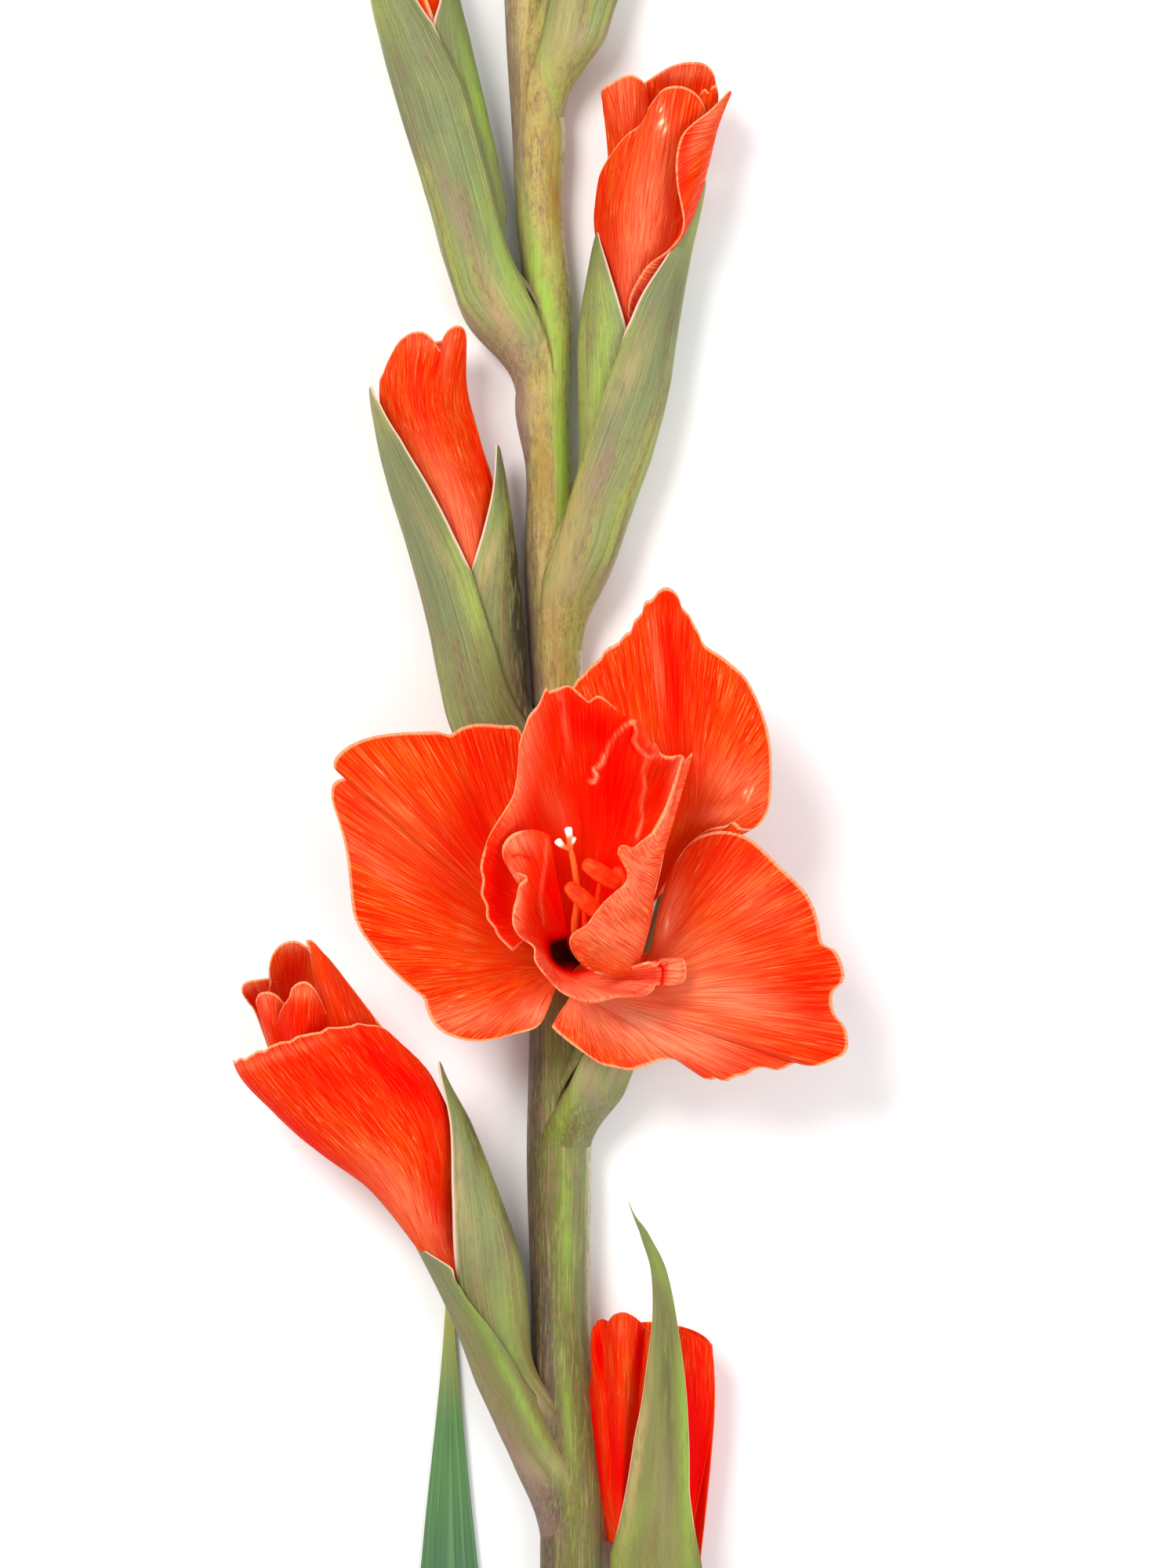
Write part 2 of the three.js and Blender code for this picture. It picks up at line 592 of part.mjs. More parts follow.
const OPEN_PETALS = {
  top: {
    claw: [10, 120], inset: 0, depth: 1, bow: 3.5, ruffle: 1,
    neck: [[806, 1150, 27], [800, 1085, 28.5], [760, 1075, 28.5], [724, 1125, 27]],
    margin: [
      [838, 1120, 29], [872, 1070, 31], [933, 1051, 33], [958, 1056, 31], [976, 1038, 31],
      [981, 975, 32], [951, 870, 33], [894, 822, 34], [868, 776, 34], [848, 753, 35],
      [822, 769, 34], [790, 819, 33], [733, 874, 32], [702, 940, 30], [702, 1030, 29], [712, 1110, 27],
    ],
  },
  left: {
    claw: [120, 245], inset: 0, depth: 1, bow: 4, ruffle: 1,
    neck: [[700, 1140, 25.5], [676, 1180, 26], [684, 1222, 25.5], [712, 1252, 24]],
    margin: [
      [706, 1130, 26], [684, 1060, 28], [672, 990, 30], [664, 932, 31], [611, 925, 32],
      [560, 936, 31.5], [483, 939, 29.5], [434, 962, 28], [431, 1010, 27], [448, 1100, 27],
      [473, 1200, 27.5], [527, 1256, 28], [560, 1308, 27], [611, 1324, 27], [680, 1310, 26.5],
      [700, 1276, 25],
    ],
  },
  right: {
    claw: [245, 370], inset: 0, depth: 1, bow: 4, ruffle: 1.2,
    neck: [[730, 1262, 24], [760, 1272, 25], [796, 1256, 27], [818, 1214, 28]],
    margin: [
      [716, 1288, 23.5], [704, 1306, 24], [767, 1354, 26], [827, 1354, 28], [870, 1352, 28.5],
      [915, 1375, 28.5], [960, 1359, 29], [1011, 1352, 29], [1077, 1335, 28], [1061, 1280, 29],
      [1072, 1230, 29], [1042, 1190, 30], [1016, 1128, 31.5], [951, 1067, 33], [880, 1070, 32],
      [848, 1150, 30.5],
    ],
  },
  hood: {
    claw: [20, 215], inset: 1.15, depth: 0.82, bow: -5, ruffle: 0.5,
    neck: [[800, 1170, 32], [800, 1105, 33], [748, 1080, 32], [690, 1120, 33], [678, 1190, 32]],
    margin: [
      [822, 1180, 34], [838, 1120, 38], [852, 1050, 42], [866, 985, 45], [862, 962, 47],
      [838, 958, 49], [806, 920, 50],
      [763, 891, 50], [726, 877, 49], [698, 884, 50], [666, 948, 51], [657, 1012, 51],
      [630, 1058, 49], [616, 1105, 46], [622, 1165, 43], [652, 1208, 40],
    ],
  },
  lip: {
    claw: [130, 318], inset: 2.3, depth: 0.86, bow: -3, ruffle: 0.5,
    neck: [[722, 1180, 34], [694, 1190, 34], [700, 1224, 33], [734, 1246, 32], [772, 1240, 33]],
    margin: [
      [698, 1066, 45], [666, 1060, 48], [646, 1080, 49], [660, 1104, 48], [658, 1150, 47],
      [676, 1200, 46], [700, 1238, 44], [730, 1264, 42], [770, 1274, 41], [812, 1266, 41],
      [834, 1240, 42],
    ],
  },
  fold: {
    claw: [-36, 44], inset: 2.3, depth: 0.86, bow: 0, ruffle: 0.3,
    neck: [[768, 1236, 37], [816, 1222, 40], [832, 1182, 43], [840, 1120, 46], [858, 1040, 49],
      [872, 975, 52]],
    margin: [
      [730, 1200, 46], [750, 1170, 50], [788, 1130, 54], [800, 1108, 55], [790, 1086, 56],
      [824, 1062, 56], [850, 1010, 56], [862, 968, 54],
    ],
  },
};

// The tube's columns meet the claws of the three outer petals one by one
function tube(shapes, rows, columns) {
  const angles = shapes.flatMap(({ claw }) => Array.from({ length: columns }, (_, j) => (
    (mix(claw[0], claw[1], j / columns) * Math.PI) / 180)));
  return grid(rows, angles.length, (u, v) => {
    const column = Math.round(v * angles.length) % angles.length;
    return tubeRing(u, angles[column], 0);
  });
}

// Round rod along a line of [across, down, height, radius]
function rod(points, rows, sides) {
  const rings = [];
  for (let i = 0; i <= rows; i += 1) {
    const t = i / rows;
    const p = curve(points, t);
    const middle = new THREE.Vector3(...at(p));
    const next = new THREE.Vector3(...at(curve(points, Math.min(1, t + 0.02))));
    const last = new THREE.Vector3(...at(curve(points, Math.max(0, t - 0.02))));
    const ahead = next.sub(last).normalize();
    const across = new THREE.Vector3(1, 0, 0);
    const up = ahead.clone().cross(across).normalize();
    across.copy(up).cross(ahead);
    const ring = [];
    for (let j = 0; j < sides; j += 1) {
      const angle = (j / sides) * 2 * Math.PI;
      ring.push(middle.clone().addScaledVector(across, p[3] * Math.cos(angle))
        .addScaledVector(up, p[3] * Math.sin(angle)).toArray());
    }
    rings.push(ring);
  }
  return loft(rings);
}

function merged(...geometries) {
  const bodies = geometries.map(toManifold);
  return fromManifold(bodies.reduce((a, b) => a.add(b)));
}

// Stamens: a thin filament from the throat, then the long anther
const STAMENS = {
  stamen_1: [[[752, 1222, 25, 0.5], [757, 1180, 36, 0.5], [766, 1114, 43.6, 0.5]],
    [[745, 1099, 46, 1.0], [766, 1112, 44.5, 1.5], [788, 1127, 43, 1.0]]],
  stamen_2: [[[744, 1232, 25, 0.5], [746, 1200, 35, 0.5], [745, 1146, 42.8, 0.5]],
    [[724, 1127, 45, 1.0], [744, 1145, 43.6, 1.5], [764, 1164, 42, 1.0]]],
  stamen_3: [[[752, 1204, 24, 0.5], [760, 1160, 33, 0.5], [780, 1098, 38.6, 0.5]],
    [[770, 1072, 40, 1.0], [780, 1098, 39, 1.4], [788, 1122, 38, 1.0]]],
};

// Style with three short lobes at its tip
const STYLE = [
  [736, 1216, 25, 0.6], [733, 1180, 34, 0.55], [737, 1141, 40.2, 0.5], [733, 1105, 45.6, 0.5],
  [727, 1076, 49.8, 0.5],
];
const LOBES = [
  [[727, 1078, 49.8, 0.5], [727, 1066, 51, 0.5], [724, 1053, 51.5, 0.7]],
  [[727, 1078, 49.8, 0.5], [719, 1074, 51.2, 0.5], [709, 1069, 52, 0.7]],
  [[727, 1078, 49.8, 0.5], [731, 1073, 50.4, 0.5], [733, 1062, 50.4, 0.7]],
];

// Leaves: a sheath round the stem, then a flat blade. Rows are [down, inner edge, outer edge, height]
const LEAVES = {
  leaf_1: {
    side: -1, foot: 4540, open: 3950,
    blade: [[3950, 652, 580, 5.4], [3600, 632, 512, 3.6], [3200, 620, 474, 1.6], [2700, 636, 482, 1.4],
      [2250, 636, 516, 1.3], [1950, 604, 545, 1.2], [1660, 578, 572, 1]],
  },
  leaf_2: {
    side: 1, foot: 3740, open: 3280,
    blade: [[3280, 776, 852, 5.6], [3060, 812, 946, 3.8], [2800, 850, 1014, 1.6], [2540, 896, 1042, 1.3],
      [2300, 950, 1058, 1.1], [2060, 1030, 1036, 1]],
  },
  leaf_3: {
    side: -1, foot: 3080, open: 2740,
    blade: [[2740, 656, 586, 6], [2600, 634, 544, 5.8], [2440, 614, 520, 5.2], [2320, 598, 520, 4.6],
      [2200, 574, 526, 4], [2100, 550, 544, 3.4]],
  },
};
const LEAF_SIDES = 4;
const SHEATH_ROOM = 0.95;
const EDGE_ROOM = 0.12;
const BLADE_HALF = 0.42;

// The sheath first opens along one side of the stem, and only then leaves it as a blade
function leafSolid({ side, foot, open, blade }, rows, halfSides) {
  const rings = [];
  const tip = blade[blade.length - 1][0];
  for (let i = 0; i <= rows; i += 1) {
    const down = mix(foot, tip, i / rows);
    const opening = ease(clamp((foot - down - 120) / (foot - open - 120), 0, 1));
    const free = ease(clamp((open + 100 - down) / 320, 0, 1));
    const stem = stemAt(down);
    const [inner, outer, height] = lookup(blade, Math.min(down, open));
    const room = mix(stem.radius + SHEATH_ROOM, EDGE_ROOM, free);
    const middle = mix(stem.x, toX(inner), free);
    const keel = mix(opening ** 2 * Math.abs(toX(outer) - stem.x - side * stem.radius),
      Math.abs(toX(outer) - toX(inner)), free);
    const lay = mix(stem.z, height, free);
    const half = mix(mix(2.8, 0.9, opening), 1.7, free);
    const wall = mix(SHEET, BLADE_HALF, free);
    const point = (angle, radius, reach) => [
      middle + side * (radius * Math.cos(angle) + Math.max(0, Math.cos(angle)) ** 2 * reach),
      toY(down),
      lay + radius * Math.sin(angle),
    ];
    const ring = [];
    for (let j = 0; j <= halfSides * 2; j += 1) {
      ring.push(point(mix(half, -half, j / (halfSides * 2)), room + wall, keel));
    }
    for (let j = 0; j <= halfSides; j += 1) {
      ring.push(point(mix(-half, half, j / halfSides), room, 0));
    }
    rings.push(ring);
  }
  return loft(rings);
}

for (const [name, leaf] of Object.entries(LEAVES)) {
  add(name, cutAway(leafSolid(leaf, 15, LEAF_SIDES), stemRoom), "leaf");
}

const tubeRoom = toManifold(rod(TUBE.map(([x, y, z, radius]) => [x, y, z, radius + PETAL / 2 + 2 * GAP]), 8, 12));

for (const [name, floret] of Object.entries(FLORETS)) {
  const young = Number(name.split("_")[1]) > 6;
  const [rows, columns] = young ? [5, 4] : [8, 6];
  const look = young ? "youngBract" : "bract";
  const around = name === "floret_2" ? stemRoom.add(tubeRoom) : stemRoom;
  const cover = bract(floret, "outer", rows, columns);
  const coverRoom = roomOf(cover);
  add(`${name}_outer_bract`, cutAway(thicken([cover], SHEET), around), look);
  const lining = bract(floret, "inner", rows, columns);
  add(`${name}_inner_bract`, cutAway(thicken([lining], SHEET), around.add(coverRoom)), look);
  const bractRoom = roomOf(lining).add(coverRoom);
  for (const [layer, shape] of Object.entries(BUDS[name]?.layers ?? {})) {
    const wrap = thicken([roll(BUDS[name], shape, 6, 11)], PETAL);
    add(`${name}_${layer}`, cutAway(wrap, bractRoom), "petal");
  }
}

const { top, left, right, hood, lip, fold } = OPEN_PETALS;
const whorl = [top, left, right];
const whorlColumns = 12;
const spread = whorl.map((shape) => petal(shape, 6, whorlColumns));
const funnel = [tube(whorl, 3, whorlColumns), ...spread];
add("floret_2_outer_petals", thicken(funnel, PETAL), "petal");
add("floret_2_hood_petal", thicken([petal(hood, 7, 12)], PETAL), "deepPetal");
add("floret_2_lip_petal", thicken([petal(lip, 7, 11)], PETAL), "deepPetal");
add("floret_2_side_petal", thicken([petal(fold, 8, 10)], PETAL), "petal");
for (const [name, [filament, anther]] of Object.entries(STAMENS)) {
  add(`floret_2_${name}`, merged(rod(filament, 4, 5), rod(anther, 4, 6)), "anther");
}
add("floret_2_style", merged(rod(STYLE, 7, 5), ...LOBES.map((lobe) => rod(lobe, 2, 5))), "style");

// Origin on the table under the middle of the whole stem
const bounds = new THREE.Box3().setFromObject(group);
const middle = bounds.getCenter(new THREE.Vector3());
for (const piece of group.children) piece.geometry.translate(-middle.x, -middle.y, 0);

export default group;
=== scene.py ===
import bpy
import numpy as np
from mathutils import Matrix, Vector


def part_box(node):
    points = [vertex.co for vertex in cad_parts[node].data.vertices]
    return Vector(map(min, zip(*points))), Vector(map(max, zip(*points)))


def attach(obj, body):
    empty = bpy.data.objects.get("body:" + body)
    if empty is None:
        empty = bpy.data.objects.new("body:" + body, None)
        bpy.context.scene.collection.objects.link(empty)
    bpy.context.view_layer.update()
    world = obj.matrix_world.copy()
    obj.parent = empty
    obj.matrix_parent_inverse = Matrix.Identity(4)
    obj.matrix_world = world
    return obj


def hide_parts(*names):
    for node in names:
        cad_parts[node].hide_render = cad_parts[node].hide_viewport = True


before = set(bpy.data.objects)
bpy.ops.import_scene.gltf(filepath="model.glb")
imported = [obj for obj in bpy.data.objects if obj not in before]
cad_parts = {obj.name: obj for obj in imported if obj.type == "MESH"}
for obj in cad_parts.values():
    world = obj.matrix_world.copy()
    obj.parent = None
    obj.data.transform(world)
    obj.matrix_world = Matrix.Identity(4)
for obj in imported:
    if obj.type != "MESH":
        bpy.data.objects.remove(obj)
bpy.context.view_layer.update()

# Driving sizes, in mm unless said otherwise
METRES = 0.001
MM_PER_UNIT = 0.15
DRAWING_ORIGIN = (715, 1000)
SHEET = 0.7
GAP = 0.35
BRACT_HALF = 0.26
BRACT_RIM = 0.11
BRACT_RIM_REACH = 0.9
PETAL_HALF = 0.22
PETAL_RIM = 0.11
PETAL_RIM_REACH = 1.6
BUD_RIM_REACH = 1.0

# Cells of each grid: rows along the piece and columns across it
STEM_CELLS = (360, 40)
LEAF_CELLS = (140, 12)
BRACT_CELLS = (80, 32)
YOUNG_CELLS = (60, 24)
BUD_CELLS = (48, 48)
ROLL_CELLS = (66, 130)
TUBE_CELLS = (20, 130)
WHORL_CELLS = (90, 130)
FILAMENT_CELLS = (24, 12)
ANTHER_CELLS = (40, 28)
STYLE_CELLS = (60, 14)
LOBE_CELLS = (24, 16)


def clamp(value, low=0.0, high=1.0):
    return np.clip(value, low, high)


def mix(a, b, t):
    return a + (b - a) * t


def ease(t):
    t = clamp(t)
    return t * t * (3 - 2 * t)


def smooth(points, t, *spots):
    """Smooth way through points that follow each other from t = 0 to 1, or through one spot of each."""
    last = len(points) - 1
    place = clamp(t) * last
    i = np.minimum(place.astype(int), last - 1)
    f = (place - i)[..., None]
    p, q = points[(i, *spots)], points[(i + 1, *spots)]
    before = points[(np.maximum(i - 1, 0), *spots)]
    after = points[(np.minimum(i + 2, last), *spots)]
    m0, m1 = (q - before) / 2, (after - p) / 2
    return ((2 * f**3 - 3 * f**2 + 1) * p + (f**3 - 2 * f**2 + f) * m0
            + (3 * f**2 - 2 * f**3) * q + (f**3 - f**2) * m1)


def curve(points, t):
    """Smooth curve through a list of points, t from 0 to 1 by index."""
    return smooth(np.asarray(points, float), t)


def spread(stations, u):
    """Smooth surface through lines of places that follow each other from u = 0 to u = 1."""
    return smooth(np.stack(stations), u, *np.indices(u.shape))


def lookup(rows, key):
    """Smooth lookup in rows that start with a falling or rising key."""
    rows = np.asarray(rows, float)
    key = np.asarray(key, float)
    keys = rows[:, 0]
    way = 1 if keys[-1] > keys[0] else -1
    share = np.interp(key * way, keys * way, np.arange(len(rows))) / (len(rows) - 1)
    return curve(rows, share)[..., 1:]


def columns_of(rows, key):
    """The values of a lookup, one array for each."""
    return np.moveaxis(lookup(rows, key), -1, 0)


def evenly(points, t):
    """Place by index of a share t of the way along a line of [across, down, height]."""
    steps = np.linalg.norm(np.diff(np.asarray(points, float)[:, :2], axis=0), axis=1)
    reach = np.concatenate([[0], np.cumsum(steps)])
    return np.interp(t, reach / reach[-1], np.linspace(0, 1, len(points)))


# Stem: [down, centre, half width], from the tip of the spike to the cut end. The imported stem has
# so many rings and sides, and the flats of its sides lie at a share of its radius.
STEM = [
    [-1215, 676, 6], [-1100, 677, 10], [-840, 674, 15], [-520, 671, 20], [-250, 676, 24], [-80, 668, 26],
    [60, 676, 30], [166, 687, 34], [265, 688, 30], [415, 700, 31], [520, 692, 35], [602, 701, 30],
    [713, 700, 31], [824, 708, 34], [898, 711, 32], [1085, 713, 36], [1340, 713, 38], [1479, 713, 41],
    [1656, 715, 38], [1740, 718, 40], [1866, 731, 42], [1990, 732, 43], [2150, 731, 41], [2320, 722, 44],
    [2600, 716, 42], [3100, 712, 43], [3700, 716, 45], [4300, 722, 46], [4650, 726, 47]]
STEM_STATIONS = 47
STEM_SIDES = 12
FLAT = np.cos(np.pi / STEM_SIDES)
LAY_ROUND_STEM = 36

# The sheaths under the stem lift it off the table, from one place down the stem on
SHEATH_LIFT = 1.9
LIFT_FROM = 2250
LIFT_OVER = 300

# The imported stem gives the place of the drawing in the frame
stem_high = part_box("stem")[1]
stem_middle, stem_half = columns_of(STEM, np.linspace(STEM[0][0], STEM[-1][0], STEM_STATIONS))
SHIFT_X = stem_high.x / METRES - np.max(
    (stem_middle - DRAWING_ORIGIN[0]) * MM_PER_UNIT + stem_half * MM_PER_UNIT * FLAT)
SHIFT_Y = stem_high.y / METRES - (DRAWING_ORIGIN[1] - STEM[0][0]) * MM_PER_UNIT


def to_x(across):
    return (across - DRAWING_ORIGIN[0]) * MM_PER_UNIT + SHIFT_X


def to_y(down):
    return (DRAWING_ORIGIN[1] - down) * MM_PER_UNIT + SHIFT_Y


def from_x(x):
    return DRAWING_ORIGIN[0] + (x - SHIFT_X) / MM_PER_UNIT


def from_y(y):
    return DRAWING_ORIGIN[1] - (y - SHIFT_Y) / MM_PER_UNIT


def at(p):
    """Drawing points [across, down, height] as places in mm."""
    p = np.asarray(p, float)
    return np.stack([to_x(p[..., 0]), to_y(p[..., 1]), p[..., 2]], axis=-1)


def stem_at(down):
    """The stem's middle, radius and height of middle at a place down the drawing, in mm."""
    centre, half = columns_of(STEM, down)
    radius = half * MM_PER_UNIT
    lift = SHEATH_LIFT * ease((down - LIFT_FROM) / LIFT_OVER)
    return to_x(centre), radius, radius * FLAT + lift


def shades(grid, spots):
    """Soft oval shades in the drawing: rows of [across, down, half length, half width, turn, weight]."""
    x, y = from_x(grid[..., 0]), from_y(grid[..., 1])
    total = np.zeros_like(x)
    for across, down, long, wide, turn, weight in spots:
        way = np.radians(turn)
        along = (x - across) * np.cos(way) + (y - down) * np.sin(way)
        aside = (y - down) * np.cos(way) - (x - across) * np.sin(way)
        total = np.maximum(total, weight * np.exp(-((along / long) ** 2) - (aside / wide) ** 2))
    return total


def strokes(grid, lines):
    """Thin soft lines in the drawing: rows of [points, half width, weight]."""
    x, y = from_x(grid[..., 0]), from_y(grid[..., 1])
    total = np.zeros_like(x)
    for points, wide, weight in lines:
        for (x0, y0), (x1, y1) in zip(points, points[1:]):
            t = clamp(((x - x0) * (x1 - x0) + (y - y0) * (y1 - y0)) / ((x1 - x0) ** 2 + (y1 - y0) ** 2))
            gap = np.hypot(x - mix(x0, x1, t), y - mix(y0, y1, t))
            total = np.maximum(total, weight * np.exp(-((gap / wide) ** 2)))
    return total


def shares(rows, columns):
    """u along the piece and v across it, each from 0 to 1, on a grid."""
    return np.meshgrid(np.linspace(0, 1, rows + 1), np.linspace(0, 1, columns + 1), indexing="ij")


def cells_of(grid):
    return grid.shape[0] - 1, grid.shape[1] - 1


def on_grid(*values):
    """Values of rows and of columns, side by side for each place of a grid."""
    return np.stack(np.broadcast_arrays(*values), axis=-1)


ROOT_SHARE = 0.15


class Sheet:
    """A grid of places with what its material reads: the lay of the veins and the tones."""

    def __init__(self, grid, rim_reach, second=0.0, third=0.0, rim_share=1.0, stain_spots_and_shade=()):
        self.grid = grid
        u, v = shares(*cells_of(grid))
        steps = np.linalg.norm(np.diff(grid, axis=0), axis=-1)
        along = steps.sum(axis=0).mean()
        across = np.linalg.norm(np.diff(grid, axis=1), axis=-1).sum(axis=1).max()
        self.lay = np.stack([v * across, u * along], axis=-1)
        beyond = np.concatenate([np.cumsum(steps[::-1], axis=0)[::-1], np.zeros((1, grid.shape[1]))])
        edge = np.minimum(v, 1 - v) * across * mix(ROOT_SHARE, 1, u)
        rim = clamp(1 - np.minimum(beyond, edge) / rim_reach) * rim_share
        self.tone = on_grid(rim, second, third, *stain_spots_and_shade)


def sheet_mesh(sheets, half, rim_half):
    """Closed thin body over sheets that may share edges, thinner at its rims."""
    places = np.concatenate([s.grid.reshape(-1, 3) for s in sheets])
    lay = np.concatenate([s.lay.reshape(-1, 2) for s in sheets])
    tone = np.concatenate([s.tone.reshape(-1, s.tone.shape[-1]) for s in sheets])
    _, first, weld = np.unique(np.round(places * 1e3).astype(np.int64), axis=0,
                               return_index=True, return_inverse=True)
    weld = weld.reshape(-1)
    points = places[first]
    faces = []
    start = 0
    for s in sheets:
        rows, columns = cells_of(s.grid)
        a = start + (np.arange(rows)[:, None] * (columns + 1) + np.arange(columns)).reshape(-1)
        b, c, d = a + 1, a + columns + 2, a + columns + 1
        faces += [np.stack([a, b, c], 1), np.stack([a, c, d], 1)]
        start += (rows + 1) * (columns + 1)
    faces = np.concatenate(faces)
    welded = weld[faces]
    keep = np.all(welded != welded[:, [1, 2, 0]], axis=1)
    faces, welded = faces[keep], welded[keep]
    p, q, r = points[welded[:, 0]], points[welded[:, 1]], points[welded[:, 2]]
    normals = np.zeros_like(points)
    for corner in range(3):
        np.add.at(normals, welded[:, corner], np.cross(q - p, r - p))
    normals /= np.maximum(np.linalg.norm(normals, axis=1, keepdims=True), 1e-9)
    rim = np.zeros(len(points))
    np.maximum.at(rim, weld, tone[:, 0])
    thick = mix(half, rim_half, rim)[:, None]
    count = len(points)
    a = faces.reshape(-1)
    b = faces[:, [1, 2, 0]].reshape(-1)
    lone = ~np.isin(weld[a] * count + weld[b], weld[b] * count + weld[a])
    a, b = a[lone], b[lone]
    corners = np.concatenate([welded, welded[:, ::-1] + count,
                              np.stack([weld[b], weld[a], weld[a] + count], 1),
                              np.stack([weld[b], weld[a] + count, weld[b] + count], 1)])
    source = np.concatenate([faces, faces[:, ::-1], np.stack([b, a, a], 1), np.stack([b, a, b], 1)])
    body = np.concatenate([points + normals * thick, points - normals * thick])
    return body, corners, lay[source], tone[source]


def loft_mesh(rings, lay, tone):
    """Closed body through rings of equal count, with a fan over each end."""
    rows, count = rings.shape[:2]
    i, j = np.meshgrid(np.arange(rows - 1), np.arange(count), indexing="ij")
    a, b = (i * count + j).reshape(-1), (i * count + (j + 1) % count).reshape(-1)
    source = np.stack([i, j], -1).reshape(-1, 2)
    up, over, both = source + [1, 0], source + [0, 1], source + [1, 1]
    k = np.arange(count)
    turned = (k + 1) % count
    end, hub = (rows - 1) * count, rows * count
    corners = np.concatenate([
        np.stack([a, b, b + count], 1), np.stack([a, b + count, a + count], 1),
        np.stack([turned, k, np.full(count, hub)], 1),
        np.stack([np.full(count, hub + 1), end + k, end + turned], 1)])
    fans = [np.stack([np.full(count, row), k], 1)[:, None, :].repeat(3, axis=1) for row in (0, rows - 1)]
    source = np.concatenate([np.stack([source, over, both], 1), np.stack([source, both, up], 1), *fans])
    body = np.concatenate([rings.reshape(-1, 3), rings[0].mean(0)[None], rings[-1].mean(0)[None]])
    p, q, r = body[corners[:, 0]], body[corners[:, 1]], body[corners[:, 2]]
    if np.einsum("ij,ij->i", p, np.cross(q, r)).sum() < 0:
        corners, source = corners[:, ::-1], source[:, ::-1]
    return body, corners, lay[source[..., 0], source[..., 1]], tone[source[..., 0], source[..., 1]]


def piece(node, bodies, material):
    """One mesh object from bodies of (points, corners, lay, tone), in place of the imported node."""
    points, lay, tone = (np.concatenate([body[k] for body in bodies]) for k in (0, 2, 3))
    starts = np.cumsum([0] + [len(body[0]) for body in bodies])
    corners = np.concatenate([body[1] + start for body, start in zip(bodies, starts)])
    points[:, 2] = np.maximum(points[:, 2], 0)
    mesh = bpy.data.meshes.new(f"{node}_fine")
    mesh.vertices.add(len(points))
    mesh.vertices.foreach_set("co", (points * METRES).reshape(-1))
    mesh.loops.add(corners.size)
    mesh.loops.foreach_set("vertex_index", corners.reshape(-1).astype(np.int32))
    mesh.polygons.add(len(corners))
    mesh.polygons.foreach_set("loop_start", np.arange(0, corners.size, 3, dtype=np.int32))
    mesh.update(calc_edges=True)
    mesh.uv_layers.new(name="Veins").data.foreach_set("uv", lay.reshape(-1))
    tone = tone.reshape(corners.size, -1).astype(np.float32)
    for start, kind in zip(range(0, tone.shape[1], 3), ("tone", "stain")):
        tones = mesh.attributes.new(kind, "FLOAT_VECTOR", "CORNER")
        tones.data.foreach_set("vector", tone[:, start:start + 3].reshape(-1))
    mesh.polygons.foreach_set("use_smooth", np.ones(len(corners), dtype=bool))
    mesh.materials.append(material)
    obj = bpy.data.objects.new(f"{node}_fine", mesh)
    bpy.context.collection.objects.link(obj)
    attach(obj, "root")
    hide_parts(node)


